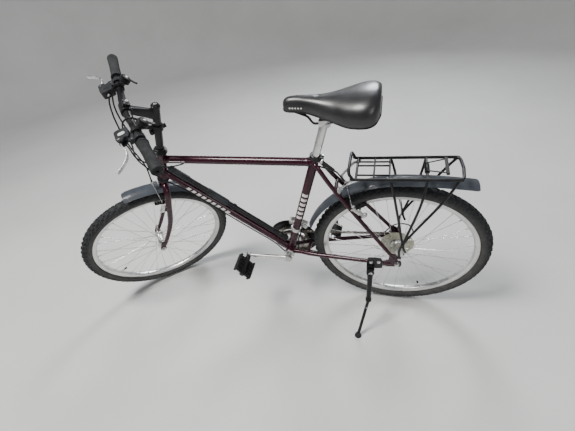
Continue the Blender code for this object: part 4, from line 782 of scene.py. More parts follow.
def spoke_shapes(left, right, flange_r):
    """Crossed spokes with bent heads at the flange, and nipples at the rim."""
    spokes = []
    nipples = []
    hole_r = flange_r - 0.003
    for k, rim_angle in enumerate(around(SPOKES)):
        flange = left if k % 2 else right
        lead = 1 if (k // 2) % 2 else -1
        outward = 1 if flange > (left + right) / 2 else -1
        face = 0.0022 * lead
        hole = polar(rim_angle + lead * SPOKE_LEAD, hole_r)
        head = hole + SIDE * (flange - face * 1.3)
        bend = hole + SIDE * (flange + face)
        target = polar(rim_angle, RIM_INNER - 0.001) + SIDE * (SPOKE_ZIGZAG * outward)
        to_rim = (target - bend).normalized()
        spokes.append(sweep([head, bend - SIDE * (face * 0.2), bend + to_rim * 0.0022,
                             bend.lerp(target, 0.5) + SIDE * (face * 0.2), target - to_rim * 0.009],
                            0.00100, 6))
        nipples.append(sweep([target + to_rim * d for d in (-0.0125, -0.0115, -0.002, 0.002)],
                             [0.0013, 0.0019, 0.0020, 0.0024], 8))
    return spokes, nipples


def valve_shapes(angle):
    """The air valve: a threaded stem with its cap, pointing at the hub from the rim."""
    out = polar(angle)
    foot = out * (RIM_INNER + 0.001)
    profile = [(0.0039, 0.0), (0.0039, 0.0020), (0.0031, 0.0022), (0.0031, 0.0160)]
    for k in range(6):
        profile += [(0.0033, 0.0165 + 0.0016 * k), (0.0027, 0.0173 + 0.0016 * k)]
    cap = [(0.0040, 0.0), (0.0042, 0.003), (0.0040, 0.009), (0.0028, 0.0105)]
    return button(foot, -out, profile, 14), button(foot - out * 0.0262, -out, cap, 14)


def build_wheel(end, place, left, right, flange_r, shell_r, valve_angle):
    """One wheel. left and right are where its hub's flanges stand along the axle."""
    body = end + "_wheel"
    piece(end + "_tyre_casing_and_tread", tyre_shapes(), TYRE[end], body, place, [end + "_tyre"], smooth=40.0)
    piece(end + "_rim_hoop", rim_shapes(), RIM_ALLOY[end], body, place, [end + "_rim"], smooth=30.0)
    piece(end + "_hub_shell", hub_shapes(left, right, flange_r, shell_r), POLISHED, body, place,
          [end + "_hub_and_spokes"])
    spokes, nipples = spoke_shapes(left, right, flange_r)
    piece(end + "_spokes", spokes, CHROME, body, place, smooth=60.0)
    piece(end + "_spoke_nipples", nipples, CAST, body, place)
    stem, cap = valve_shapes(valve_angle)
    piece(end + "_valve_stem", [stem], CHROME, body, place)
    piece(end + "_valve_cap", [cap], PLASTIC, body, place)


def build_axle(end, place, body, half_drop, left, right):
    """Axle with cones, locknuts, toothed washers and outer nuts; it doesn't turn with the wheel."""
    plate_out = half_drop + 0.0060
    tip = plate_out + 0.0118
    thread = []
    shapes = [rod(-SIDE * tip, SIDE * tip, AXLE_R * 0.93, 20)]
    for sign, flange in ((-1, left), (1, right)):
        inner = flange + sign * 0.0050
        outer = sign * (half_drop - GAP)
        room = abs(outer - inner)
        if room > 0.004:
            cone = [(0.0075, 0.0), (0.0085, 0.0015), (0.0085, room - 0.0045)]
            shapes.append(button(SIDE * inner, SIDE * sign, cone, 20))
            shapes.append(nut(SIDE * (outer - sign * 0.0042), SIDE * sign, 0.0165, 0.0042))
        seat = sign * (plate_out + GAP)
        shapes.append(disc(SIDE * (seat + sign * 0.0007), SIDE, AXLE_R, 0.0090, 0.0013, 24))
        shapes.append(nut(SIDE * (seat + sign * 0.0014), SIDE * sign, 0.0155, 0.0070))
        for k in range(5):
            at = seat + sign * (0.0084 + 0.0006 * k)
            thread.append(disc(SIDE * at, SIDE, AXLE_R * 0.9, AXLE_R, 0.0003, 20))
    piece(end + "_axle_cones_and_nuts", shapes + thread, CHROME, body, place, [end + "_axle"])


# ---- frame ----------------------------------------------------------------------------------
def bead(at, toward, r, swell=0.0016, length=0.0090):
    """The brazed fillet where a tube meets another: a flare that thins out along the tube."""
    d = (Vector(toward) - Vector(at)).normalized()
    shares = [k / 6 for k in range(7)]
    radii = [r + swell * (1 - t) ** 2 for t in shares]
    return sweep([Vector(at) + d * (length * t) for t in shares], radii, 32)


def head_tube():
    """The head tube, thicker in a band at each end."""
    end = [(0.0152, 0.0), (0.0193, 0.0), (0.0197, 0.0015), (0.0197, 0.0060), (0.0186, 0.0085)]
    profile = end + [(0.0185, HEAD_TUBE_LEN / 2)] + [(r, HEAD_TUBE_LEN - h) for r, h in reversed(end)]
    return turned(on_steering(HEAD_LOW), STEER_UP, profile, 48)


def stay_tube(points, radii, side):
    """A smooth tapered tube, drawn on the chain side and mirrored to the left where asked."""
    return sweep([mirrored(p, side) for p in smooth_path(points, 5)], smooth_values(radii, 5), 24)


def rear_triangle(side):
    """The chain stay, seat stay, dropout and brake boss of one side."""
    low = [(-0.420, 0.0215, -0.031), (-0.385, 0.0262, -0.029), (-0.335, 0.0365, -0.026),
           (-0.220, 0.0500, -0.018), (-0.100, 0.0630, -0.010), (-0.022, STAY_Y, -0.003)]
    high = [on_seat(SEAT_TUBE_LEN - 0.028, 0.004, 0.0130), on_seat(SEAT_TUBE_LEN - 0.036, 0.020, 0.0225),
            stay_point(0.400, 0.0, 0.0320), stay_point(0.250, 0.0, 0.0505),
            stay_point(0.090, 0.0, 0.0660), Vector((-0.012, STAY_Y, 0.026))]
    boss = brake_boss("rear", side)
    return [stay_tube(low, [0.0090, 0.0088, 0.0085, 0.0085, 0.0078, 0.0070], side),
            stay_tube(high, [0.0078, 0.0078, 0.0078, 0.0075, 0.0070, 0.0065], side),
            dropout_shape(side), rod(boss, boss + STAY_NORMAL * REAR_COLLAR, 0.0070, 24)]


def build_frame():
    """The brazed frame with its brake studs, bottom bracket cups and plain head badge."""
    shapes = [head_tube()]
    for (a, b), r in ((TOP_TUBE, TOP_TUBE_R), (DOWN_TUBE, DOWN_TUBE_R)):
        shapes.append(rod(a, b, r, 40))
        start = (b - a).normalized() * 0.0150
        shapes.append(bead(a + start, b, r, 0.0026, 0.0140))
        shapes.append(bead(b - start, a, r, 0.0026, 0.0140))
    shapes.append(sweep([on_seat(0.004), on_seat(SEAT_TUBE_LEN - 0.002), on_seat(SEAT_TUBE_LEN)],
                        [SEAT_TUBE_R, SEAT_TUBE_R, SEAT_TUBE_R - 0.0010], 40))
    shapes.append(bead(on_seat(0.0195), on_seat(0.1), SEAT_TUBE_R, 0.0024, 0.0120))
    shapes.append(turned(BB, SIDE, band(0.0172, 0.0205, 0.0340, 0.0008, 0.0007), 48))
    shapes += rear_triangle(-1) + cable_stops() + rear_triangle(1)
    shapes.append(rod(stay_point(0.388, 0.0, -0.031), stay_point(0.388, 0.0, 0.031), 0.0065, 24))
    shapes.append(rod((-0.352, -0.0330, -0.027), (-0.352, 0.0330, -0.027), 0.0060, 24))
    piece("frame_tubes", shapes, LACQUER, "frame", None, ["frame"], edge=0.0006)
    build_stud_bolts("rear", STAY_NORMAL, REAR_COLLAR, "frame", LEANED)
    build_bracket_cups()
    build_badge()


def build_stud_bolts(end, out, collar, body, place):
    """The domed bolts that close the two brake bosses of one wheel's brake."""
    head = [(0.0040, 0.0), (0.0062, 0.0001), (0.0062, 0.0026), (0.0040, 0.0036)]
    studs = [button(brake_boss(end, side) + out * (collar + 0.017), out, head, 20) for side in (-1, 1)]
    piece(end + "_brake_stud_bolts", studs, CHROME, body, place)


def build_bracket_cups():
    """The bearing cups of the bottom bracket, each with a ring of tool notches."""
    ring = [(0.0100, 0.0), (0.0185, 0.0), (0.0195, 0.0010), (0.0195, 0.0036), (0.0180, 0.0050),
            (0.0100, 0.0050)]
    cups = []
    for side in (-1, 1):
        cups.append(turned(BB + SIDE * (side * 0.0340), SIDE * side, ring, 32))
        for a in around(8):
            at = BB + SIDE * (side * 0.0362) + polar(a, 0.0200)
            cups.append(block(at, (0.0030, 0.0030, 0.0030), polar(a), SIDE))
    piece("bottom_bracket_cups", cups, CAST, "frame", edge=0.0003)


def build_badge():
    """A plain oval plate, bent round the front of the head tube."""
    tube_r = 0.0185
    rings = []
    for rise, swell in ((0.0, 1.0), (0.0008, 1.0), (0.0013, 0.90)):
        ring = []
        for a in around(24):
            y = 0.0085 * cos(a) * swell
            drop = tube_r - sqrt(tube_r ** 2 - y ** 2)
            height = (HEAD_LOW + HEAD_HIGH) / 2 + 0.0190 * sin(a) * swell
            ring.append(on_steering(height, 0.0180 - drop + rise, y))
        rings.append(ring)
    piece("head_badge_plain", [loft(rings)], POLISHED, "frame")


def dropout_shape(side):
    """The rear fork end: a plate with a slot for the axle, open to the rear and below."""
    slot = AXLE_R + 0.0006
    outline = [(-0.052, -0.014), (-0.036, -0.019), (-0.018, -0.022), (-0.006, -0.021),
               (-slot - 0.003, -0.016)]
    outline += slot_arc(slot)
    outline += [(slot - 0.001, -0.018), (0.0085, -0.0215), (0.0125, -0.0200), (0.0160, -0.0120),
                (0.0170, -0.0040), (0.0155, 0.0080), (0.0120, 0.0140), (0.0040, 0.0300), (0.0000, 0.0400),
                (-0.0100, 0.0480), (-0.0220, 0.0520), (-0.0290, 0.0430), (-0.0300, 0.0220), (-0.0360, 0.0060)]
    return plate(outline, SIDE * (side * (DROP_IN + DROP_THICK / 2)), BACK, UP, DROP_THICK)


def cable_stops():
    """Small brazed guides: three under the top tube for the rear brake's cable."""
    shapes = []
    for t in (0.22, 0.52, 0.84):
        at = TOP_TUBE[0].lerp(TOP_TUBE[1], t) + Vector((0.0, 0.0130, -0.0135))
        ring = [(0.0029, -0.0045), (0.0042, -0.0045), (0.0042, 0.0045), (0.0029, 0.0045)]
        shapes.append(turned(at, TOP_ALONG, ring, 16))
    return shapes


def build_headset():
    """The bearing cups under and over the head tube, the upper one with its lock rings."""
    low = [(0.0142, 0.0004), (0.0208, 0.0004), (0.0222, 0.0012), (0.0235, 0.0040), (0.0230, 0.0070),
           (0.0215, 0.0095), (0.0205, STACK - GAP), (0.0142, STACK - GAP)]
    piece("headset_lower_bearing_cup", [turned(on_steering(CROWN_RACE), STEER_UP, low, 48)], BLACK, "frame",
          None, ["headset_lower_cup"])
    top = on_steering(HEAD_HIGH)
    cup = [(0.0142, GAP), (0.0225, GAP), (0.0240, 0.0020), (0.0255, 0.0060), (0.0250, 0.0085),
           (0.0142, 0.0085)]
    lock = [(0.0142, 0.0095), (0.0236, 0.0095), (0.0242, 0.0105), (0.0238, 0.0130), (0.0225, 0.0138),
            (0.0142, 0.0138)]
    ring = [(0.0142, 0.0146), (0.0218, 0.0146), (0.0222, 0.0156), (0.0205, 0.0190), (0.0185, 0.0200),
            (0.0142, 0.0200)]
    shapes = [turned(top, STEER_UP, profile, sides) for profile, sides in ((cup, 48), (lock, 48), (ring, 8))]
    piece("headset_upper_bearing_cup", shapes, BLACK, "frame", None, ["headset_upper_cup"], edge=0.0003)


# ---- seat post and saddle -------------------------------------------------------------------
POST_R = 0.0134
RAIL_R = 0.0035
POST_TOP = 0.662
SADDLE_AT = on_seat(POST_TOP - 0.018)
RAIL_Z = SADDLE_AT.z + 0.002


def build_seat():
    """The collar, the post, the rails and the saddle on them."""
    build_seat_collar()
    build_seat_post()
    rails = []
    for side in (-1, 1):
        path = [(-0.318, side * 0.0085, 0.6134), (-0.296, side * 0.0120, 0.6060),
                (-0.272, side * 0.0190, 0.5985), (-0.256, side * 0.0225, RAIL_Z),
                (-0.230, side * 0.0225, RAIL_Z), (-0.180, side * 0.0225, RAIL_Z),
                (-0.150, side * 0.0225, RAIL_Z),
                (-0.122, side * 0.0330, RAIL_Z + 0.006), (-0.108, side * 0.0400, 0.6010)]
        rails.append(sweep(smooth_path(path, 4), RAIL_R, 16))
    piece("saddle_rail_wires", rails, BLACK, "seat", None, ["saddle_rails"])
    build_saddle()


def build_seat_collar():
    """The clamp round the top of the seat tube: a split collar, its bolt and its bent lever."""
    height = SEAT_TUBE_LEN - 0.0065
    bolt_a = on_seat(height, 0.0235, 0.016)
    bolt_b = on_seat(height, 0.0235, -0.020)
    lever = [bolt_b + SIDE * 0.002, bolt_b + SEAT_BACK * 0.012 - SEAT_UP * 0.003,
             bolt_b + SEAT_BACK * 0.028 - SEAT_UP * 0.011, bolt_b + SEAT_BACK * 0.046 - SEAT_UP * 0.020]
    shapes = [turned(on_seat(height), SEAT_UP, band(SEAT_TUBE_R + GAP, 0.0200, 0.0065, 0.0010, 0.0008), 40)]
    for y in (-0.0048, 0.0048):
        shapes.append(block(on_seat(height, 0.0225, y), (0.010, 0.0064, 0.012), SEAT_BACK, SIDE))
    shapes.append(strap(smooth_path(lever, 4), 0.011, 0.005, SEAT_UP))
    piece("seat_collar_with_lever", shapes, BLACK, "frame", None, ["seat_clamp"], edge=0.0006)
    bolt = [rod(bolt_a, bolt_b, 0.0030, 16), nut(bolt_a - SIDE * 0.005, SIDE, 0.0098, 0.005),
            rod(bolt_b - SIDE * 0.001, bolt_b + SIDE * 0.006, 0.0052, 20)]
    piece("seat_collar_bolt", bolt, CHROME, "frame")


def build_seat_post():
    """The post, and the clamp that holds the saddle's rails between its cheeks."""
    tube = sweep([on_seat(SEAT_TUBE_LEN - 0.110), on_seat(POST_TOP - 0.010), on_seat(POST_TOP - 0.004)],
                 [POST_R, POST_R, POST_R - 0.003], 40)
    piece("seat_post_tube", [tube], POLISHED, "seat", None, ["seat_post"])
    clamp = [button(on_seat(POST_TOP - 0.038), SEAT_UP, barrel(0.0185, 0.024, 0.002), 28)]
    bolt_at = SADDLE_AT + SEAT_BACK * 0.012
    for side in (-1, 1):
        for y in (0.0150, 0.0230):
            clamp.append(block(SADDLE_AT + SIDE * (side * y), (0.034, 0.0060, 0.020)))
        clamp.append(nut(bolt_at + SIDE * (side * 0.0262), SIDE * side, 0.0120, 0.0048))
    clamp.append(rod(bolt_at - SIDE * 0.031, bolt_at + SIDE * 0.031, 0.0033, 16))
    piece("saddle_clamp", clamp, CAST, "seat", edge=0.0006)


def skirt_drop(half):
    """How far the cover hangs below the underside where the saddle is so wide."""
    return SKIRT_DROP * min(1.0, half / 0.08)


# The saddle's stations: x, half width, top, crown above the edge, underside.
SADDLE_STATIONS = (
    (-0.3440, 0.0080, 0.6390, 0.002, 0.6220), (-0.3400, 0.0150, 0.6470, 0.004, 0.6190),
    (-0.3280, 0.0200, 0.6545, 0.006, 0.6180), (-0.3000, 0.0225, 0.6570, 0.008, 0.6170),
    (-0.2650, 0.0275, 0.6550, 0.009, 0.6130), (-0.2300, 0.0390, 0.6535, 0.010, 0.6070),
    (-0.1950, 0.0560, 0.6550, 0.012, 0.6040), (-0.1600, 0.0755, 0.6600, 0.013, 0.6030),
    (-0.1250, 0.0880, 0.6665, 0.013, 0.6045), (-0.0980, 0.0890, 0.6700, 0.012, 0.6065),
    (-0.0790, 0.0780, 0.6695, 0.010, 0.6110), (-0.0670, 0.0540, 0.6650, 0.006, 0.6200))
SKIRT_DROP = 0.014
SIDE_SHARE = 0.22
TUCK = radians(14.0)
SECTION_STEPS = 40
UNDER_STEPS = 10
SADDLE_FINE = 5
SWELL_FRAMES = 20


def saddle_section(x, half, top, crown, low, shrink):
    """One closed cross-section: a crowned top that rolls over into full sides, tucked in below."""
    half -= shrink
    top -= shrink
    skirt = low - skirt_drop(half)
    fat = 2.0 + 12.0 * crown
    points = []
    for k in range(SECTION_STEPS):
        t = -1.0 + 2.0 * k / (SECTION_STEPS - 1)
        a = abs(t) * (pi / 2 + TUCK)
        y = half * abs(sin(a)) ** (2 / fat)
        z = skirt + (top - skirt) * (SIDE_SHARE + (1 - SIDE_SHARE) * abs(cos(a)) ** (2 / (fat + 0.5)))
        if a > pi / 2:
            s = (a - pi / 2) / TUCK
            y = half * (1.0 - 0.045 * s * s)
            z = skirt + (top - skirt) * SIDE_SHARE * (1.0 - s)
        points.append(Vector((x, y if t > 0 else -y, z)))
    inset = half * 0.90
    points += [Vector((x, inset * (1 - 2 * k / (UNDER_STEPS - 1)), low + 0.003)) for k in range(UNDER_STEPS)]
    return points


def build_saddle():
    """A foam pad under a stretched vinyl cover, swelled by cloth pressure, on a moulded base."""
    xs, halves, tops, crowns, lows = [smooth_values(column, SADDLE_FINE) for column in zip(*SADDLE_STATIONS)]
    rings = [saddle_section(*values, 0.0016) for values in zip(xs, halves, tops, crowns, lows)]
    cover = piece("saddle_cushion_cover", [loft(rings)], VINYL, "seat", None, ["saddle_cushion"], smooth=60.0)
    swell(cover, 0.0034)
    rounded = cover.modifiers.new("rounded", "SUBSURF")
    rounded.levels = 1
    rounded.render_levels = 1
    # the piping runs where the cover is turned under the moulded base
    rim = [Vector((x, half * 0.945, low - skirt_drop(half) + 0.0016))
           for x, half, low in zip(xs, halves, lows)]
    loop = rim + [mirrored(p, -1) for p in reversed(rim)]
    piece("saddle_cover_piping", [sweep(loop, 0.0016, 8, closed=True)], PLASTIC, "seat", smooth=60.0)
    base = []
    for x, half, low in zip(xs, halves, lows):
        skirt = low - 0.6 * skirt_drop(half)
        ring = ((-0.88, skirt), (-0.80, low + 0.0010), (0.0, low + 0.0016), (0.80, low + 0.0010),
                (0.88, skirt), (0.70, low - 0.0012), (0.0, low - 0.0006), (-0.70, low - 0.0012))
        base.append([Vector((x * 0.985 - 0.003, y * half, z)) for y, z in ring])
    piece("saddle_moulded_base", [loft(base)], PLASTIC, "seat", edge=0.0004)
    dashes = []
    for k in range(5):
        x, y = -0.322 + 0.0085 * k, -0.0218 - 0.0010 * k
        dashes.append(rod((x, y, 0.6290), (x + 0.0042, y - 0.0004, 0.6290), 0.0022, 12))
    piece("saddle_side_dashes", dashes, PALE, "seat", smooth=60.0)


def swell(obj, cap):
    """Blow the cover up a little with cloth pressure, and keep each point within a cap."""
    mesh = obj.data
    rest = np.array([v.co for v in mesh.vertices], float)
    pinned = obj.vertex_groups.new(name="turned_under")
    per_ring = SECTION_STEPS + UNDER_STEPS
    held = [i for i in range(len(rest)) if i % per_ring >= SECTION_STEPS - 2 or i % per_ring < 2]
    ends = [i for i in range(len(rest)) if i < per_ring or i >= len(rest) - per_ring]
    pinned.add(sorted(set(held + ends)), 1.0, "REPLACE")
    cloth = obj.modifiers.new("swell", "CLOTH")
    cloth.settings.vertex_group_mass = pinned.name
    cloth.settings.use_pressure = True
    cloth.settings.uniform_pressure_force = 4.0
    cloth.settings.tension_stiffness = 40.0
    cloth.settings.compression_stiffness = 40.0
    cloth.settings.effector_weights.gravity = 0.0
    cloth.point_cache.frame_start = 1
    cloth.point_cache.frame_end = SWELL_FRAMES
    scene = bpy.context.scene
    for step in range(1, SWELL_FRAMES + 1):
        scene.frame_set(step)
    graph = bpy.context.evaluated_depsgraph_get()
    shaped = obj.evaluated_get(graph).to_mesh()
    moved = np.array([v.co for v in shaped.vertices], float)
    obj.evaluated_get(graph).to_mesh_clear()
    obj.modifiers.remove(cloth)
    scene.frame_set(1)
    if len(moved) == len(rest) and np.isfinite(moved).all():
        shift = moved - rest
        size = np.linalg.norm(shift, axis=1, keepdims=True)
        moved = rest + shift * np.minimum(1.0, cap / np.maximum(size, 1e-9))
        mesh.vertices.foreach_set("co", moved.astype(np.float32).ravel())
        mesh.update()


# ---- fork and steering ----------------------------------------------------------------------
FORK_IN = 0.0500
FORK_PLATE = 0.0055
BAR_C = on_steering(CROWN_RACE + 2 * STACK + HEAD_TUBE_LEN + 0.180, 0.089)
BAR_R = 0.0111
BAR_BORE = BAR_R + GAP
BULGE_R = 0.0130
BAR_HALF = 0.298
QUILL_TOP = 0.716
GRIP_R = 0.0165
GRIP_IN = 0.176
GRIP_RIBS = 30
LEVER_Y = 0.1500
SHIFT_Y = 0.1180


def leg_forward(height):
    """How far the raked leg is in front of the steering axis."""
    return FORK_RAKE * max(0.0, 1.0 - height / 0.20) ** 1.6


def build_fork():
    """The crown with two raked legs, fork ends and brake bosses, and the steerer inside the head."""
    crown = [(0.0172, 0.0), (0.0185, 0.002), (0.0185, 0.0285 - GAP), (0.0178, 0.0300 - GAP)]
    shapes = [button(on_steering(CROWN_RACE - 0.030), STEER_UP, crown, 40)]
    slot = AXLE_R + 0.0006
    outline = [(-0.0115, -0.0120), (-slot, -0.0120)] + slot_arc(slot)
    outline += [(slot, -0.0120), (0.0115, -0.0120), (0.0130, 0.0040), (0.0100, 0.0400), (-0.0060, 0.0400),
                (-0.0130, 0.0040)]
    for side in (-1, 1):
        path = [on_steering(0.3700, 0.0, side * 0.006), on_steering(0.3680, 0.0, side * 0.0240),
                on_steering(0.3560, 0.0, side * 0.0400), on_steering(0.3350, 0.0, side * 0.0480),
                on_steering(0.2800, 0.0, side * 0.0510)]
        radii = [0.0125, 0.0128, 0.0130, 0.0128, 0.0122]
        for height, r in ((0.20, 0.0112), (0.15, 0.0105), (0.10, 0.0096), (0.055, 0.0088), (0.024, 0.0080)):
            path.append(on_steering(height, leg_forward(height), side * 0.0530))
            radii.append(r)
        shapes.append(sweep(smooth_path(path, 4), smooth_values(radii, 4), 28, start=SIDE))
        foot = on_steering(0.0, FORK_RAKE, side * (FORK_IN + FORK_PLATE / 2))
        shapes.append(plate(outline, foot, STEER_BACK, STEER_UP, FORK_PLATE))
        boss = brake_boss("front", side)
        shapes.append(rod(boss, boss - STEER_BACK * FRONT_COLLAR, 0.0070, 24))
    piece("fork_crown_and_legs", shapes, FORK_LACQUER, "steering", STEERED, ["fork"], edge=0.0006)
    steerer = rod(on_steering(CROWN_RACE - 0.025), on_steering(HEAD_HIGH + 0.036), 0.0127, 32)
    piece("fork_steerer", [steerer], BLACK, "steering", STEERED)
    build_stud_bolts("front", -STEER_BACK, FRONT_COLLAR, "steering", STEERED)


def bar_point(y):
    """A point on the centre line of the handlebar."""
    ends = max(0.0, (abs(y) - 0.05) / (BAR_HALF - 0.05))
    return BAR_C + STEER_BACK * (0.018 * ends) + STEER_UP * (0.0067 * ends) + SIDE * y


def bar_dir(y):
    """Which way the bar runs at a distance from its middle."""
    return (bar_point(y + 0.002) - bar_point(y - 0.002)).normalized()


def cockpit(name, shapes, paint, stands_for=(), **more):
    """A piece of the bars and their fittings, which turn with the steering."""
    return piece(name, shapes, paint, "steering", STEERED, stands_for, **more)


def build_stem():
    """The tall quill, the arm up to the bar with its clamp, and their bolts."""
    elbow = on_steering(0.686)
    reach = (BAR_C - elbow).normalized()
    lift = reach.cross(SIDE).normalized()
    shares = smooth_values([0.0, 0.35, 0.80, 0.90], 4)
    wides = smooth_values([0.022, 0.022, 0.026, 0.028], 4)
    highs = smooth_values([0.040, 0.032, 0.026, 0.026], 4)
    arm = [rounded_ring(elbow.lerp(BAR_C, t), SIDE, wide, lift, high, 3.2, 28)
           for t, wide, high in zip(shares, wides, highs)]
    top = on_steering(QUILL_TOP - 0.004)
    quill = [(0.0127, 0.0), (0.0135, 0.0008), (0.0135, QUILL_TOP - HEAD_HIGH - 0.038)]
    stem = [button(on_steering(HEAD_HIGH + 0.0370), STEER_UP, quill, 36),
            button(top, STEER_UP, [(0.0144, 0.0), (0.0152, 0.0008), (0.0152, 0.0072), (0.0140, 0.0082)], 36),
            button(top + STEER_UP * 0.007, STEER_UP, [(0.0140, 0.0), (0.0125, 0.0040), (0.0090, 0.0070)], 36),
            loft(arm), turned(BAR_C, SIDE, band(BULGE_R + GAP, 0.0185, 0.021, 0.0007), 40)]
    pinch = BAR_C - lift * 0.0200 + reach * 0.004
    for y in (-0.0072, 0.0072):
        stem.append(block(pinch + SIDE * y, (0.020, 0.0118, 0.012), reach, SIDE))
    cockpit("stem_quill_and_arm", stem, BLACK, ["stem"], edge=0.0006)
    cockpit("stem_bolts", [bolt_head(pinch - lift * 0.0060, -lift, 0.0046, 0.0056),
                           bolt_head(on_steering(QUILL_TOP + 0.0085), STEER_UP, 0.0050, 0.0022)], CAST)


def build_quill_ring():
    """A ring round the quill with an empty bracket arm in front and a pinch block behind."""
    arm = [on_steering(0.636, 0.017), on_steering(0.646, 0.040, -0.006), on_steering(0.664, 0.066, -0.026)]
    tail = [on_steering(0.636, -0.0165), on_steering(0.640, -0.028)]
    knob_at = on_steering(0.618, 0.0215)
    cockpit("quill_ring_with_arm",
            [turned(on_steering(0.636), STEER_UP, band(0.0139, 0.0185, 0.010, 0.0005), 36),
             strap(smooth_path(arm, 5), 0.016, 0.007, STEER_UP), strap(tail, 0.014, 0.010, SIDE),
             button(knob_at - SIDE * 0.010, SIDE, barrel(0.0075, 0.0200, 0.0015), 24),
             rod(knob_at, on_steering(0.634, 0.0185), 0.0040, 16)], PLASTIC, ["quill_bracket"], edge=0.0006)


def build_cockpit():
    """The stem, the bar, the bracket on the quill, and the controls at both ends."""
    build_stem()
    half = [(0.048, BULGE_R), (0.052, BULGE_R - 0.0004), (0.075, BAR_R), (0.120, BAR_R), (0.200, BAR_R),
            (BAR_HALF, BAR_R)]
    stations = [(-y, r) for y, r in reversed(half)] + half
    bar = sweep([bar_point(y) for y, r in stations], [r for y, r in stations], 32)
    cockpit("handlebar_tube", [bar], BLACK, ["handlebar"])
    build_quill_ring()
    for side, label in SIDES:
        build_grip(side, label)
        build_brake_lever(side, label)
        build_shifter(side, label)


def build_grip(side, label):
    """A ribbed rubber grip with a collar at its inner end and a rounded outer end."""
    inner = bar_point(side * GRIP_IN)
    outer = bar_point(side * (BAR_HALF + 0.004))
    length = (outer - inner).length
    profile = [(BAR_BORE, 0.0), (0.0184, 0.0), (0.0190, 0.0006), (0.0190, 0.0034), (0.0184, 0.0044)]
    for k in range(GRIP_RIBS):
        for part, lift in ((0.00, 0.0), (0.25, 0.00050), (0.60, 0.00050), (0.85, 0.0)):
            t = (k + part) / GRIP_RIBS
            waist = 0.0012 * sin(pi * min(1.0, t * 1.1)) - 0.0004
            profile.append((GRIP_R - waist + lift, 0.0060 + t * (length - 0.016)))
    profile += [(GRIP_R + 0.0010, length - 0.0075), (GRIP_R + 0.0010, length - 0.0035),
                (GRIP_R - 0.0008, length - 0.0006), (GRIP_R - 0.0035, length), (0.0045, length),
                (0.0045, length - 0.0035), (BAR_BORE, length - 0.0035)]
    cockpit("grip_rubber_" + label, [turned(inner, outer - inner, profile, 36)], RUBBER, ["grip_" + label])


def build_brake_lever(side, label):
    """A lever's clamp and moulded housing, its blank label and fittings, and its alloy blade."""
    clamp_at = bar_point(side * LEVER_Y)

    def at(dx, y, dz):
        return Vector((clamp_at.x + dx, side * y, clamp_at.z + dz))

    def moulded(outline, dz, thick, steps):
        ring = [(a, side * b) for a, b in outline][::side]
        return round_plate(ring, at(0.0, 0.1020, 0.006 + dz), BACK, SIDE, thick, steps)

    body = [(-0.0600, 0.0040), (-0.0605, 0.0200), (-0.0590, 0.0320), (-0.0420, 0.0345), (-0.0240, 0.0400),
            (-0.0200, 0.0300), (-0.0195, 0.0120), (-0.0210, 0.0000), (-0.0360, -0.0020), (-0.0520, -0.0020)]
    ear = [(-0.0600, 0.0300), (-0.0580, 0.0440), (-0.0500, 0.0470), (-0.0400, 0.0440), (-0.0380, 0.0320)]
    cockpit("brake_lever_housing_" + label,
            [turned(clamp_at, bar_dir(side * LEVER_Y), band(BAR_BORE, 0.0170, 0.009, 0.0007), 32),
             moulded(body, 0.0, 0.0255, 4), moulded(ear, -0.0096, 0.0062, 3), moulded(ear, 0.0096, 0.0062, 3),
             block(at(-0.0195, LEVER_Y - 0.007, 0.004), (0.018, 0.028, 0.016))], SMOKE,
            ["brake_lever_body_" + label], edge=0.0012)
    cockpit("brake_lever_label_" + label,
            [round_plate(rectangle(0.0085, 0.0050), at(-0.040, 0.1215, 0.0189), BACK, SIDE, 0.0009, 3)],
            PALE if side < 0 else SMOKE)
    adjuster = [(0.0036, 0.0), (0.0050, 0.0004), (0.0050, 0.0056), (0.0040, 0.0064), (0.0034, 0.0100)]
    cockpit("brake_lever_fittings_" + label,
            [button(at(-0.040, 0.0990, 0.006), -SIDE * side, adjuster, 20),
             bolt_head(at(-0.052, 0.1400, 0.0189), UP, 0.0042, 0.0020),
             bolt_head(clamp_at - BACK * 0.0180 + UP * 0.010, UP, 0.0030, 0.0026)], CHROME)
    path = [at(-0.053, 0.1420, 0.006), at(-0.052, 0.1600, 0.006), at(-0.047, 0.1830, 0.005),
            at(-0.050, 0.2060, 0.004), at(-0.068, 0.2300, 0.003), at(-0.088, 0.2460, 0.003)]
    piece("brake_lever_blade_alloy_" + label, [strap(smooth_path(path, 5), 0.0105, 0.0055, UP)], POLISHED,
          "brake_lever_" + label, STEERED, ["brake_lever_blade_" + label], edge=0.0008)


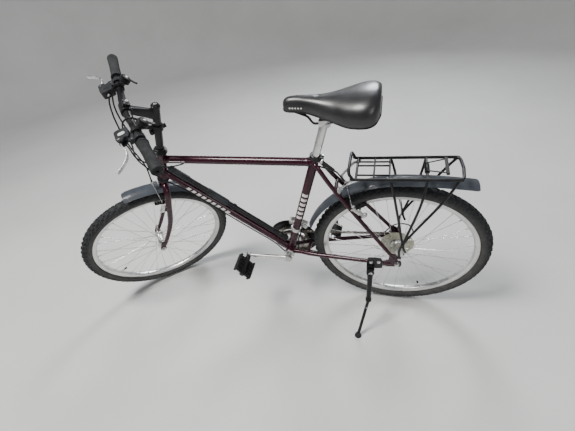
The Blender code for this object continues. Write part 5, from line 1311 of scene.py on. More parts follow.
def build_shifter(side, label):
    """A thumb shifter: its clamp and drum on the bar, and the paddle that turns on the drum."""
    at = bar_point(side * SHIFT_Y)
    up_back = (STEER_UP * 0.80 + STEER_BACK * 0.60).normalized()
    reach = (STEER_BACK * 0.80 - STEER_UP * 0.60).normalized()
    centre = at + up_back * 0.026
    drum = [(0.0160, 0.0), (0.0175, 0.0015), (0.0175, 0.0060), (0.0168, 0.0064), (0.0168, 0.0076),
            (0.0175, 0.0080), (0.0175, 0.0130), (0.0165, 0.0140)]
    cockpit("shifter_housing_" + label,
            [turned(at, bar_dir(side * SHIFT_Y), band(BAR_BORE, 0.0155, 0.007, 0.0005), 32),
             button(centre, up_back, drum, 36),
             rod(at + up_back * 0.0145, centre + up_back * 0.002, 0.0090, 20)], PLASTIC,
            ["shifter_body_" + label], edge=0.0005)
    turn_at = centre + up_back * (0.014 + GAP)
    paddle = [turn_at + up_back * 0.003, turn_at + up_back * 0.003 + reach * 0.024 - SIDE * (side * 0.004),
              turn_at + up_back * 0.006 + reach * 0.036 - SIDE * (side * 0.008)]
    cap = [(0.0140, 0.0), (0.0150, 0.0010), (0.0150, 0.0040), (0.0120, 0.0058), (0.0060, 0.0063)]
    piece("shifter_lever_paddle_" + label,
          [button(turn_at, up_back, cap, 36), strap(smooth_path(paddle, 4), 0.009, 0.004, SIDE)],
          PLASTIC, "shifter_" + label, STEERED, ["shifter_lever_" + label], edge=0.0006)
    piece("shifter_lever_bolt_" + label, [bolt_head(turn_at + up_back * 0.0060, up_back, 0.0048, 0.0018)],
          CAST, "shifter_" + label, STEERED)


# ---- rim brakes -----------------------------------------------------------------------------
PAD_RISE = 0.0240
ARM_RISE = 0.062
ARM_END_Y = 0.066
STUD_R = 0.0040


def build_brake(end, label, side, up, normal, collar, place):
    """A cantilever arm on its boss with its pad on a post; gives where its link wire is held."""
    boss = brake_boss(end, side)

    def at(rise, out, y):
        return boss + up * rise + normal * out + SIDE * (side * y - boss.y)

    body = end + "_brake_" + label
    mid = collar + GAP + 0.0080
    arm = smooth_path([at(0.004, mid, 0.0460), at(0.030, mid, 0.0580), at(ARM_RISE, mid, ARM_END_Y)], 5)
    web = smooth_path([at(0.006, mid + 0.0040, 0.0470), at(0.030, mid + 0.0040, 0.0580),
                       at(ARM_RISE - 0.006, mid + 0.0040, ARM_END_Y - 0.001)], 5)
    shapes = [turned(boss + normal * mid, normal, band(STUD_R + GAP, 0.0085, 0.0080, 0.0008, 0.0005), 24),
              strap(arm, 0.0130, 0.0064, normal), strap(web, 0.0030, 0.0076, normal)]
    piece(end + "_brake_arm_cast_" + label, shapes, CAST, body, place, [end + "_brake_arm_" + label],
          edge=0.0008)
    washer = [(0.0068, 0.0), (0.0074, 0.0010), (0.0060, 0.0028)]
    top = ARM_RISE - 0.002
    post = [rod(at(PAD_RISE, mid, 0.0246), at(PAD_RISE, mid, 0.0600), 0.0034, 16),
            nut(at(PAD_RISE, mid, 0.0545), SIDE * side, 0.0098, 0.0048),
            button(at(PAD_RISE, mid, 0.0470), SIDE * side, washer, 20),
            rod(at(top, mid - 0.008, ARM_END_Y), at(top, mid + 0.008, ARM_END_Y), 0.0038, 16),
            nut(at(top, mid + 0.0052, ARM_END_Y), normal, 0.0088, 0.0030)]
    piece(end + "_brake_pad_post_" + label, post, CHROME, body, place)
    inside = at(PAD_RISE, mid, 0.0200)
    shell = [(-0.0250, 0.0004), (0.0250, 0.0004), (0.0235, 0.0051), (-0.0235, 0.0051)]
    pads = [plate([(a, side * b) for a, b in shell], inside, normal, SIDE, 0.0118)]
    for k in range(-2, 3):
        pads.append(block(inside + normal * (0.0102 * k) - SIDE * (side * 0.0023), (0.0088, 0.0056, 0.0116),
                          normal, SIDE))
    piece(end + "_brake_pad_" + label, pads, PAD, body, place, edge=0.0007)
    return at(ARM_RISE, mid, ARM_END_Y)


def build_straddle(end, yoke, ends, normal, body, place):
    """The two link wires from the brake arms, and the yoke that pulls them."""
    wires = []
    for tip in ends:
        lift = (yoke - tip).normalized()
        wires.append(rod(tip + lift * 0.0080, yoke, 0.0011, 10))
        wires.append(rod(tip + lift * 0.0080, tip + lift * 0.0130, 0.0016, 10))
    hanger = [(-0.0090, -0.0040), (0.0090, -0.0040), (0.0075, 0.0030), (0.0030, 0.0055), (-0.0030, 0.0055),
              (-0.0075, 0.0030)]
    up = normal.cross(SIDE).normalized()
    if up.z < 0:
        up = -up
    piece(end + "_brake_link_wires", wires, CHROME, body, place, [end + "_brake_straddle"])
    yoke_shapes = [plate(hanger, yoke, SIDE, up, 0.0055), nut(yoke + normal * 0.0028, normal, 0.0075, 0.0026)]
    piece(end + "_brake_yoke", yoke_shapes, CAST, body, place, edge=0.0005)


# ---- mudguards ------------------------------------------------------------------------------
SHEET = 0.0022


def guard_ring(edge, up, half, crown):
    """One thin arched section with rolled edges: its crown stands above the given point."""
    steps = [-1.0 + k / 8 for k in range(17)]
    outer = []
    inner = []
    for t in steps:
        roll = 0.0009 * max(0.0, abs(t) - 0.86) / 0.14
        rise = crown * (1 - t * t)
        outer.append(edge + SIDE * (half * t) + up * (rise + SHEET + roll))
        inner.append(edge + SIDE * ((half - SHEET * 0.6 * abs(t)) * t) + up * (rise + roll * 0.5))
    return outer + inner[::-1]


def build_rear_mudguard():
    """The rear guard follows the tyre over the top, then runs out flatter to its tail."""
    rings = []
    for k in range(46):
        a = radians(159.0 - 69.0 * k / 45)
        rings.append(guard_ring(polar(a, 0.3440), polar(a), 0.0300, 0.0115))
    rows = [(0.020, 0.3441, 0.0300, 0.0115), (0.080, 0.3420, 0.0300, 0.0115), (0.160, 0.3350, 0.0295, 0.0090),
            (0.215, 0.3285, 0.0291, 0.0066), (0.222, 0.3276, 0.0278, 0.0064), (0.226, 0.3270, 0.0250, 0.0062)]
    xs, zs, halves, crowns = [smooth_values(column, 5) for column in zip(*rows)]
    for x, z, half, crown in zip(xs, zs, halves, crowns):
        rings.append(guard_ring(Vector((x, 0.0, z)), Vector((0.09, 0.0, 0.996)), half, crown))
    piece("rear_mudguard_sheet", [loft(rings)], GUARD, "frame", None, ["rear_mudguard"], smooth=50.0)
    piece("rear_mudguard_bridge_bolt", [rod(stay_point(0.3562), stay_point(0.3812), 0.0032, 16),
                                        nut(stay_point(0.3600), -STAY_DIR, 0.0095, 0.0040)], CHROME, "frame")


def build_front_mudguard():
    """The front guard runs from ahead of the fork crown back to behind it."""
    rings = []
    count = 44
    for k in range(count):
        a = radians(88.0 - 62.0 * k / (count - 1))
        taper = min(1.0, min(k, count - 1 - k) / 2.0)
        half = 0.0300 * (0.88 + 0.12 * sqrt(taper))
        rings.append(guard_ring(FRONT_AXLE + polar(a, 0.3430), polar(a), half, 0.0105))
    piece("front_mudguard_sheet", [loft(rings)], GUARD, "steering", STEERED, ["front_mudguard"], smooth=50.0)
    tab = block(on_steering(0.3650, 0.0214), (0.0030, 0.0150, 0.0240), STEER_BACK, SIDE)
    piece("front_mudguard_tab", [tab, bolt_head(on_steering(0.3700, 0.0229), -STEER_BACK, 0.0045, 0.0030)],
          CHROME, "steering", STEERED, edge=0.0004)


# ---- rear rack ------------------------------------------------------------------------------
DECK_Z = 0.395
DECK_Y = 0.0560
RAIL_ROD = 0.0050
STRUT_ROD = 0.0043
CROSS_ROD = 0.0040
THIN_ROD = 0.0030
CLIP_X = 0.070
RACK_FOOT_X = 0.006
RACK_FOOT_Z = 0.038


def build_rack():
    """The rack: its deck of welded rods, its struts and foot bolts, its straps and its clip."""
    shapes = [sweep(deck_loop(), RAIL_ROD, 16, closed=True)]
    welds = []
    for x, r in ((-0.140, CROSS_ROD), (-0.086, THIN_ROD), (-0.039, THIN_ROD), (CLIP_X, CROSS_ROD)):
        shapes.append(rod((x, -DECK_Y, DECK_Z), (x, DECK_Y, DECK_Z), r, 16))
        for side in (-1, 1):
            weld_y = side * (DECK_Y - RAIL_ROD * 0.6)
            welds.append(bead((x, weld_y, DECK_Z), (x, 0.0, DECK_Z), r, 0.0013, 0.0050))
    for y in (-0.034, 0.014, 0.034):
        shapes.append(rod((-0.140, y, DECK_Z), (-0.039, y, DECK_Z), THIN_ROD, 14))
    eye = [(0.0034, 0.0), (0.0074, 0.0), (0.0074, 0.0060), (0.0034, 0.0060)]
    for side, label in SIDES:
        legs, leg_welds = rack_legs(side)
        inner = Vector((RACK_FOOT_X, side * (DROP_IN + DROP_THICK + GAP), RACK_FOOT_Z))
        shapes += legs + [turned(inner, SIDE * side, eye, 24)]
        welds += leg_welds
        piece("rack_foot_bolt_" + label,
              [rod(inner, inner + SIDE * (side * 0.0066), 0.0032, 16),
               nut(inner + SIDE * (side * 0.0062), SIDE * side, 0.0098, 0.0050)], CHROME, "frame")
    piece("rear_rack_rods", shapes + welds, RACK_BLACK, "frame", None, ["rear_rack"], edge=0.0003)
    for side, label in SIDES:
        build_rack_strap(side, label)
    build_rack_clip()


def deck_loop():
    """The closed path of the deck's outer rod, its front end kicked up."""
    front = [(-0.140, 1.0, 0.0), (-0.153, 0.98, 0.008), (-0.161, 0.92, 0.024), (-0.162, 0.0, 0.026)]
    back = [(0.0, 1.0, 0.0), (0.150, 1.0, 0.0), (0.161, 0.93, 0.0), (0.168, 0.76, 0.0), (0.172, 0.0, 0.0)]
    half = [Vector((x, DECK_Y * f, DECK_Z + dz)) for x, f, dz in front[::-1] + back]
    fine = smooth_path(half, 6)[1:-1]
    return [half[0]] + fine + [half[-1]] + [mirrored(p, -1) for p in reversed(fine)]


def rack_legs(side):
    """The three struts of one side with the lug that joins them: the shapes and their welds."""
    y = side * DECK_Y
    low = Vector((0.014, side * 0.0805, 0.120))
    foot = Vector((RACK_FOOT_X, side * 0.0805, RACK_FOOT_Z))
    struts = ([(-0.037, y, DECK_Z - 0.002), (-0.020, side * 0.0660, 0.320), low, (0.025, low.y, 0.080)],
              [(CLIP_X, y, DECK_Z - 0.002), (0.056, side * 0.0680, 0.290), low],
              [(0.158, y * 0.95, DECK_Z - 0.002), (0.116, side * 0.0690, 0.310), low, foot])
    shapes = [sweep(smooth_path(strut, 6), STRUT_ROD, 16, start=SIDE) for strut in struts]
    shapes.append(rod(low - SIDE * (side * 0.0060), low + SIDE * (side * 0.0085), 0.0062, 20))
    return shapes, [bead(strut[0], strut[1], STRUT_ROD, 0.0016, 0.0080) for strut in struts]


def build_rack_strap(side, label):
    """A bent steel strap from the rack's front bar to a seat stay, with its bolt."""
    top = Vector((-0.1415, side * 0.0480, DECK_Z - 0.0072))
    bend = Vector((-0.158, side * 0.0450, DECK_Z - 0.014))
    low = stay_point(0.3880, 0.0125, side * 0.0360)
    path = [top + BACK * 0.010, top, top.lerp(bend, 0.5), bend, bend.lerp(low, 0.5), low,
            low - STAY_DIR * 0.012]
    piece("rack_strap_steel_" + label, [strap(path, 0.0150, 0.0026, SIDE)], CHROME, "frame", None,
          ["rack_strap_" + label], edge=0.0004)
    bolt_at = low - STAY_DIR * 0.005
    piece("rack_strap_bolt_" + label,
          [nut(bolt_at + STAY_NORMAL * 0.0012, STAY_NORMAL, 0.0098, 0.0044),
           rod(bolt_at - STAY_NORMAL * 0.0034, bolt_at + STAY_NORMAL * 0.006, 0.0030, 16)], CHROME, "frame")


def build_rack_clip():
    """The sprung clip: a coil on the deck's rear rod, two wire arms and a moulded bar."""
    eye = [(0.0016, 0.0), (0.0030, 0.0004), (0.0030, 0.0020), (0.0016, 0.0024)]
    wires = [helix((CLIP_X, 0.0, DECK_Z), SIDE, 0.0066, 0.0014, 12, 0.0032)]
    for side in (-1, 1):
        a = Vector((CLIP_X - 0.001, side * 0.0185, DECK_Z + 0.0066))
        wires.append(rod(a, (0.1240, side * 0.034, DECK_Z + 0.0100), 0.0020, 12))
        wires.append(button(a - SIDE * 0.0012, SIDE, eye, 12))
    piece("rack_clip_spring_wires", wires, RACK_BLACK, "rack_clip", None, ["rack_clip"])
    bar = block(Vector((0.1250, 0.0, DECK_Z + 0.0100)), (0.0096, 0.0820, 0.0066))
    piece("rack_clip_bar", [bar], PLASTIC, "rack_clip", edge=0.0016)


# ---- pump -----------------------------------------------------------------------------------
PUMP_OUT = 0.0321


def build_pump():
    """The frame pump over the down tube: a ribbed handle, a sleeve, its barrel and two bands."""
    def at(distance):
        return down_tube_point(distance, PUMP_OUT)

    span = 0.082
    profile = [(0.0108, 0.0), (0.0130, 0.0012), (0.0135, 0.0030)]
    for k in range(6):
        rib = 0.014 + 0.0098 * k
        profile += [(0.0135, rib), (0.0129, rib + 0.0010), (0.0129, rib + 0.0026), (0.0135, rib + 0.0036)]
    profile += [(0.0135, span - 0.0020), (0.0120, span), (0.0112, span + 0.001), (0.0112, span + 0.0085)]
    piece("pump_handle_ribbed", [button(at(0.014), DOWN_ALONG, profile, 36)], PUMP_GREY, "frame", None,
          ["pump_handle"])
    sleeve = [(0.0112, 0.0), (0.0132, 0.0020), (0.0138, 0.0045), (0.0138, 0.0915), (0.0132, 0.0940),
              (0.0112, 0.0960)]
    piece("pump_sleeve", [button(at(0.176), DOWN_ALONG, sleeve, 36)], PUMP_GREY, "frame")
    tube = [(0.0100, 0.0), (0.0108, 0.0010), (0.0108, 0.4180)]
    head = [(0.0116, 0.0), (0.0130, 0.0016), (0.0130, 0.0390), (0.0105, 0.0420)]
    outlet = [(0.0072, 0.0), (0.0070, 0.0150), (0.0060, 0.0200)]
    ring_at = at(0.300)
    shapes = [button(at(0.1036), DOWN_ALONG, tube, 36), button(at(0.520), DOWN_ALONG, head, 36),
              button(at(0.545), DOWN_OUT, outlet, 24),
              turned(ring_at, DOWN_ALONG, band(0.0110, 0.0135, 0.007, 0.0004), 36),
              block(ring_at - DOWN_OUT * 0.0130, (0.014, 0.010, 0.0057), DOWN_ALONG, SIDE)]
    piece("pump_barrel_tube", shapes, BLACK, "frame", None, ["pump_barrel"], edge=0.0003)
    stripe = [(0.0105, 0.0), (0.01095, 0.0), (0.01095, 0.0080), (0.0105, 0.0080)]
    bands = [turned(at(distance), DOWN_ALONG, stripe, 36) for distance in (0.112, 0.480)]
    piece("pump_barrel_bands", bands, PUMP_GREY, "frame")


# ---- drive ----------------------------------------------------------------------------------
CHAIN_Y = 0.0402
PITCH = 0.0127
SPROCKETS = (28, 24, 21, 18, 16, 14)
RINGS = ((28, 0.0402), (38, 0.0475), (48, 0.0550))
GUIDE = Vector((0.012, CHAIN_Y, -0.0880))
TENSION = Vector((-0.030, CHAIN_Y, -0.1500))
PULLEY_TEETH = 11
ROOT_DROP = 0.0040
RING_THICK = 0.0022
TREAD_TEETH = 8


def pitch_r(teeth):
    """The radius that a chain runs at on so many teeth."""
    return PITCH * teeth / (2 * pi)


def tangent(c1, r1, s1, c2, r2, s2):
    """Tangent points of a belt from one circle to the next. s=+1 turns anticlockwise."""
    d = (c2[0] - c1[0], c2[1] - c1[1])
    length = sqrt(d[0] ** 2 + d[1] ** 2)
    ux, uz = d[0] / length, d[1] / length
    k = (s1 * r1 - s2 * r2) / length
    h = sqrt(1 - k * k)
    nx, nz = ux * k + uz * h, uz * k - ux * h
    return ((c1[0] + nx * s1 * r1, c1[1] + nz * s1 * r1), (c2[0] + nx * s2 * r2, c2[1] + nz * s2 * r2))


def belt(circles, step):
    """The closed path of a belt around circles of (x, z, radius, sense)."""
    runs = []
    n = len(circles)
    for i in range(n):
        a, b = circles[i], circles[(i + 1) % n]
        runs.append(tangent(a[:2], a[2], a[3], b[:2], b[2], b[3]))
    path = []
    for i in range(n):
        x, z, r, sense = circles[i]
        enter = runs[i - 1][1]
        leave = runs[i][0]
        a0 = atan2(enter[1] - z, enter[0] - x)
        a1 = atan2(leave[1] - z, leave[0] - x)
        turn = (a1 - a0) * sense % (2 * pi)
        count = max(1, round(turn / step))
        for k in range(count + 1):
            a = a0 + sense * turn * k / count
            path.append((x + r * cos(a), z + r * sin(a)))
    return path


def build_sprockets():
    """Six sprockets and their spacers on a hub, and the clear disc behind them."""
    shapes = []
    for k, teeth in enumerate(SPROCKETS):
        y = 0.0292 + 0.0055 * k
        r = pitch_r(teeth)
        shapes.append(toothed(SIDE * y, SIDE, 0.0205, r - ROOT_DROP, r + 0.0002, teeth, 0.0019))
        shapes.append(disc(SIDE * (y + 0.0027), SIDE, 0.0150, 0.0212, 0.0036, 48))
    hub = [(0.0120, 0.0276), (0.0185, 0.0276), (0.0185, 0.0600), (0.0175, 0.0606), (0.0120, 0.0606)]
    shapes.append(turned(ORIGIN, SIDE, hub, 48))
    piece("sprocket_set", shapes, COG, "sprockets", None, ["sprocket_cluster"])
    guard = [(0.0250, 0.0244), (0.0600, 0.0251), (0.0612, 0.0247), (0.0622, 0.0240), (0.0635, 0.0236),
             (0.0641, 0.0243), (0.0633, 0.0252), (0.0615, 0.0263), (0.0600, 0.0266), (0.0250, 0.0258)]
    shapes = [turned(ORIGIN, SIDE, guard, 96)]
    for a in around(6):
        shapes.append(disc(polar(a, 0.0400) + SIDE * 0.0243, SIDE, 0.0062, 0.0080, 0.0022, 20))
    shapes.append(disc(SIDE * 0.0243, SIDE, 0.0530, 0.0545, 0.0022, 96))
    piece("spoke_protector_disc", shapes, YELLOWED, "rear_wheel", None, ["spoke_protector"], smooth=50.0)


def spider_arms():
    """The five tapering arms that carry the chainrings."""
    arms = []
    for turn in around(5):
        r = polar(CRANK_ANGLE + turn)
        rings = []
        for reach, wide, y, thick in ((0.0080, 0.020, 0.0650, 0.0090), (0.0260, 0.0140, 0.0638, 0.0066),
                                      (0.0440, 0.0118, 0.0618, 0.0056), (0.0600, 0.0130, 0.0596, 0.0050),
                                      (0.0630, 0.0090, 0.0594, 0.0046)):
            rings.append(rounded_ring(BB + r * reach + SIDE * y, r.cross(SIDE), wide, SIDE, thick, 2.8, 20))
        arms.append(loft(rings))
    return arms


def build_cranks():
    """Both cranks with their dust caps and pedals, the spindle and the chainrings."""
    hub = [(0.0158, 0.0), (0.0172, 0.0015), (0.0172, 0.0128), (0.0160, 0.0140), (0.0124, 0.0140),
           (0.0120, 0.0128), (0.0112, 0.0130)]
    dust_cap = [(0.0112, 0.0), (0.0112, 0.0010), (0.0085, 0.0018), (0.0030, 0.0014)]
    for side, label in SIDES:
        d = polar(-CRANK_ANGLE, side)
        face = (0.0560 if side < 0 else 0.0585) + GAP
        centre_y = face + 0.0065
        end_y = centre_y + 0.0110
        end = BB + d * CRANK_LEN + SIDE * (side * end_y)
        path = [BB + SIDE * (side * centre_y), BB + d * 0.040 + SIDE * (side * (centre_y + 0.002)),
                BB + d * 0.130 + SIDE * (side * (end_y - 0.002)), end]
        up = d.cross(SIDE).normalized()
        widths = smooth_values([0.030, 0.024, 0.020, 0.019], 6)
        shapes = [loft([rounded_ring(p, up, w, SIDE, 0.0130) for p, w in zip(smooth_path(path, 6), widths)]),
                  button(BB + SIDE * (side * face), SIDE * side, hub, 40),
                  button(end - SIDE * (side * 0.0072), SIDE * side, barrel(0.0132, 0.0144, 0.0010), 32)]
        if side > 0:
            shapes += spider_arms()
        piece("crank_arm_" + label, shapes, POLISHED, "cranks", None, ["crank_" + label])
        cap = button(BB + SIDE * (side * (face + 0.0131)), SIDE * side, dust_cap, 32)
        piece("crank_dust_cap_" + label, [cap], CAST, "cranks")
        build_pedal(side, label, end + SIDE * (side * 0.0072))
    spindle = rod(BB - SIDE * 0.0560, BB + SIDE * 0.0600, 0.0085, 24)
    piece("bottom_bracket_spindle", [spindle], CHROME, "cranks")
    build_chainrings()


def chainring(k, inner, tip):
    """One of the three rings, from its inner radius to so far past its pitch circle."""
    teeth, y = RINGS[k]
    r = pitch_r(teeth)
    return toothed(BB + SIDE * y, SIDE, inner, r - ROOT_DROP, r + tip, teeth, RING_THICK)


def build_chainrings():
    """Three toothed rings with lugs at the spider's five arms, their bolts, and the outer guard."""
    inner_y, middle_y, outer_y = [ring[1] for ring in RINGS]
    outer = [chainring(2, 0.0660, 0.0010)]
    steel = [chainring(1, 0.0610, 0.0010), chainring(0, 0.0430, 0.0004)]
    bolts = []
    lug = both_sides([(0.0510, 0.0050), (0.0560, 0.0072), (0.0700, 0.0125)])
    small_lug = both_sides([(0.0340, 0.0045), (0.0390, 0.0062), (0.0460, 0.0090)])
    head = [(0.0052, 0.0), (0.0052, 0.0006), (0.0042, 0.0012)]
    for turn in around(5):
        r = polar(CRANK_ANGLE + turn)
        t = SIDE.cross(r)
        outer.append(plate(lug, BB + SIDE * outer_y, r, t, RING_THICK))
        steel.append(plate([(x - 0.003, y) for x, y in lug], BB + SIDE * middle_y, r, t, RING_THICK))
        steel.append(plate(small_lug, BB + SIDE * inner_y, r, t, RING_THICK))
        at = BB + r * 0.0575
        low = BB + r * 0.0395
        bolts += [rod(at + SIDE * 0.0462, at + SIDE * 0.0602, 0.0040, 16),
                  button(at + SIDE * 0.0620, SIDE, head, 20), button(at + SIDE * 0.0458, -SIDE, head, 20),
                  rod(low + SIDE * 0.0396, low + SIDE * 0.0560, 0.0042, 16),
                  button(low + SIDE * 0.0390, -SIDE, head, 20),
                  strap([BB + r * 0.0340 + SIDE * 0.0560, BB + r * 0.0600 + SIDE * 0.0560], 0.013, 0.0020, t)]
    piece("chainring_outer", outer, BLACK, "cranks", None, ["chainrings"], edge=0.0002)
    piece("chainring_middle_and_inner", steel, COG, "cranks", edge=0.0002)
    piece("chainring_bolts", bolts, CHROME, "cranks")
    guard = [(0.0905, 0.0568), (0.0925, 0.0563), (0.1020, 0.0566), (0.1040, 0.0572), (0.1046, 0.0586),
             (0.1038, 0.0598), (0.1020, 0.0602), (0.0930, 0.0598), (0.0905, 0.0592)]
    piece("chainring_guard_ring", [turned(BB, SIDE, guard, 128)], PLASTIC, "cranks", smooth=50.0)


def build_pedal(side, label, face):
    """A moulded pedal, front edge raised: barrel on the axle, toothed treads and fins between bars."""
    start = face + SIDE * (side * GAP)
    fore = Vector((-cos(PEDAL_TILT), 0.0, -sin(PEDAL_TILT)))
    lift = fore.cross(SIDE)
    out = SIDE * side
    hub = [(0.0080, 0.0), (0.0098, 0.0006), (0.0098, 0.0060), (0.0115, 0.0090), (0.0106, 0.0220),
           (0.0100, 0.0480), (0.0106, 0.0760), (0.0115, 0.0880), (0.0115, 0.0940), (0.0092, 0.0960)]
    shapes = [button(start, out, hub, 32)]
    for y in (0.0200, 0.0880):
        rings = []
        for t in (k / 4.0 for k in range(-4, 5)):
            wide, tall = 0.0045 - 0.0006 * t * t, 0.0084 + 0.0030 * (1 - t * t)
            at = start + out * y + fore * (0.0345 * t)
            rings.append(rounded_ring(at, out, wide, lift, tall, 3.0, 16))
        shapes.append(loft(rings))
    for reach in (-0.0130, -0.0215, 0.0130, 0.0215):
        shapes.append(block(start + fore * reach + out * 0.0540, (0.0036, 0.0700, 0.0140), fore, SIDE))
    for y in (0.0370, 0.0540, 0.0710):
        shapes.append(block(start + out * y, (0.0660, 0.0036, 0.0110), fore, SIDE))
    outline = []
    for edge in (1, -1):
        for k in range(2 * TREAD_TEETH + 1):
            y = -0.0400 + 0.0800 * k / (2 * TREAD_TEETH)
            outline.append((y * edge, (0.0120 if k % 2 else 0.0092) * edge))
    treads = []
    for sign in (-1, 1):
        centre = start + fore * (sign * 0.0360) + out * 0.0540
        treads.append(plate(outline, centre, SIDE, lift, 0.0066))
        pad_at = centre + fore * (sign * 0.0034)
        treads.append(round_plate(rectangle(0.0180, 0.0050), pad_at, SIDE, lift, 0.0010, 3))
    piece("pedal_barrel_and_bars_" + label, shapes, PLASTIC, "pedal_" + label, None, ["pedal_" + label])
    piece("pedal_treads_" + label, treads, BLACK, "pedal_" + label, edge=0.0006)


def build_chain():
    """The chain round its ring, sprocket and pulleys, link by link."""
    circles = [(BB.x, BB.z, pitch_r(RINGS[0][0]), -1), (0.0, 0.0, pitch_r(SPROCKETS[2]), -1),
               (GUIDE.x, GUIDE.z, pitch_r(PULLEY_TEETH), 1),
               (TENSION.x, TENSION.z, pitch_r(PULLEY_TEETH), -1)]
    path = [Vector((x, CHAIN_Y, z)) for x, z in belt(circles, radians(4.0))]
    lengths = [(path[(i + 1) % len(path)] - path[i]).length for i in range(len(path))]
    total = sum(lengths)
    links = 2 * round(total / PITCH / 2)
    pins = []
    for k in range(links):
        left = total * k / links
        i = 0
        while left > lengths[i]:
            left -= lengths[i]
            i += 1
        pins.append(path[i].lerp(path[(i + 1) % len(path)], left / lengths[i]))
    plates = []
    rollers = []
    for k, a in enumerate(pins):
        b = pins[(k + 1) % links]
        u = (b - a).normalized()
        outline = stadium((b - a).length, 0.0040, 0.0029, (0.5,), 6)
        out = 0.0023 if k % 2 else 0.0033
        for y in (-out, out):
            plates.append(plate(outline, a + SIDE * y, u, u.cross(SIDE), 0.00095))
        rollers.append(rod(a - SIDE * 0.0018, a + SIDE * 0.0018, 0.0036, 12))
        rollers.append(rod(a - SIDE * 0.0042, a + SIDE * 0.0042, 0.0017, 10))
    piece("chain_link_plates", plates, CHAIN, "frame", None, ["chain"], smooth=50.0)
    piece("chain_rollers_and_pins", rollers, COG, "frame", smooth=50.0)


def build_rear_derailleur():
    """The rear derailleur: its two knuckles, the link between them and its bolts."""
    pivot = Vector((-0.002, 0.0735 + GAP, -0.030))
    knuckle = Vector((GUIDE.x, 0.0600, GUIDE.z))
    upper = [(0.0095, 0.0), (0.0105, 0.0010), (0.0105, 0.0150), (0.0090, 0.0162)]
    lower = [(0.0105, 0.0), (0.0115, 0.0010), (0.0115, 0.0196), (0.0098, 0.0210)]
    link = smooth_path([pivot + SIDE * 0.010, Vector((-0.024, 0.0850, -0.052)), knuckle + SIDE * 0.012], 6)
    rings = []
    for k, (p, (u, v)) in enumerate(zip(link, directions(link, start=BACK))):
        t = k / (len(link) - 1)
        rings.append(rounded_ring(p, u, 0.0200 + 0.0030 * sin(pi * t), v, 0.0120, 3.0, 20))
    body = [button(pivot, SIDE, upper, 32), loft(rings), button(knuckle - SIDE * 0.0030, SIDE, lower, 32)]
    piece("rear_derailleur_links", body, PLASTIC, "frame", None, ["rear_derailleur_body"])
    piece("rear_derailleur_bolts",
          [bolt_head(pivot + SIDE * 0.0162, SIDE, 0.0070, 0.0026),
           bolt_head(knuckle + SIDE * 0.0180, SIDE, 0.0062, 0.0022),
           nut(Vector((-0.020, 0.0915, -0.050)), SIDE, 0.0090, 0.0036)], CHROME, "frame")
    build_pulley_cage()


def build_pulley_cage():
    """The derailleur's cage: two waisted plates, their bolts and the two toothed pulleys."""
    along = (TENSION - GUIDE).normalized()
    cage = stadium((TENSION - GUIDE).length, 0.0095, 0.0060, (0.3, 0.7), 10)
    plates = [plate(cage, GUIDE + SIDE * y, along, along.cross(SIDE), 0.0018) for y in (-0.0072, 0.0072)]
    r = pitch_r(PULLEY_TEETH)
    bolts = []
    wheels = []
    for p in (GUIDE, TENSION):
        for sign in (-1, 1):
            bolts.append(bolt_head(p + SIDE * (sign * 0.0081), SIDE * sign, 0.0044, 0.0014))
        wheels.append(toothed(p, SIDE, 0.0042, r - 0.0046, r - 0.0008, PULLEY_TEETH, 0.0026))
        wheels.append(disc(p, SIDE, 0.0040, 0.0075, 0.0080, 24))
    bolts.append(rod(GUIDE + SIDE * 0.0080, Vector((GUIDE.x, 0.0570 - GAP, GUIDE.z)), 0.0065, 24))
    piece("derailleur_cage_plates", plates, POLISHED, "derailleur_cage", None, ["rear_derailleur_cage"],
          edge=0.0003)
    piece("derailleur_cage_bolts", bolts, CHROME, "derailleur_cage")
    piece("derailleur_pulleys", wheels, PLASTIC, "derailleur_cage", edge=0.0002)


def build_front_derailleur():
    """The front derailleur: its band on the seat tube, its links and its cage."""
    at = on_seat(0.130)
    link_end = at + SIDE * 0.0350 + BACK * 0.004
    shapes = [turned(at, SEAT_UP, band(SEAT_TUBE_R + GAP, 0.0190, 0.009, 0.0006), 40)]
    for dz in (-0.0042, 0.0042):
        shapes.append(strap([at + SIDE * 0.0175 + UP * dz, link_end + UP * dz], 0.0130, 0.0042, BACK))
    shapes.append(rod(at + SIDE * 0.0175, at + SIDE * 0.0240, 0.0080, 24))
    for y, low in ((0.0345, 0.1075), (0.0600, 0.1060)):
        outline = []
        for r, first, last in ((0.1262, 50, 88), (low, 88, 50)):
            for k in range(13):
                a = radians(first + (last - first) * k / 12)
                outline.append((r * cos(a), r * sin(a)))
        shapes.append(plate(outline, BB + SIDE * y, BACK, UP, 0.0018))
    for a in (51, 86):
        bridge = BB + polar(radians(a), 0.1225) + SIDE * 0.04725
        shapes.append(block(bridge, (0.0050, 0.0270, 0.0036)))
    piece("front_derailleur_clamp_and_cage", shapes, CAST, "frame", None, ["front_derailleur"], edge=0.0003)
    nuts = [nut(at - SEAT_BACK * 0.0190, -SEAT_BACK, 0.0090, 0.0042),
            nut(link_end + SEAT_BACK * 0.006, SEAT_BACK, 0.0085, 0.0036)]
    piece("front_derailleur_bolts", nuts, CHROME, "frame")


# ---- side stand -----------------------------------------------------------------------------
STAND_FOOT = (-0.139, -0.242)
STAND_AXIS = Vector((0.20, -1.0, 0.154)).normalized()
STAND_BEND = 0.0130
PLATE_Y = -(STAY_Y + 0.0078 + GAP)
STAND_PIVOT = Vector((-0.096, PLATE_Y - 0.0145 - 0.0106, -0.0300))


def ground_z(x, y):
    """The height, in the upright coordinates, of the ground under a point."""
    turn = LEANED.to_3x3()
    return (-LEANED.translation.z - turn[2][0] * x - turn[2][1] * y) / turn[2][2]


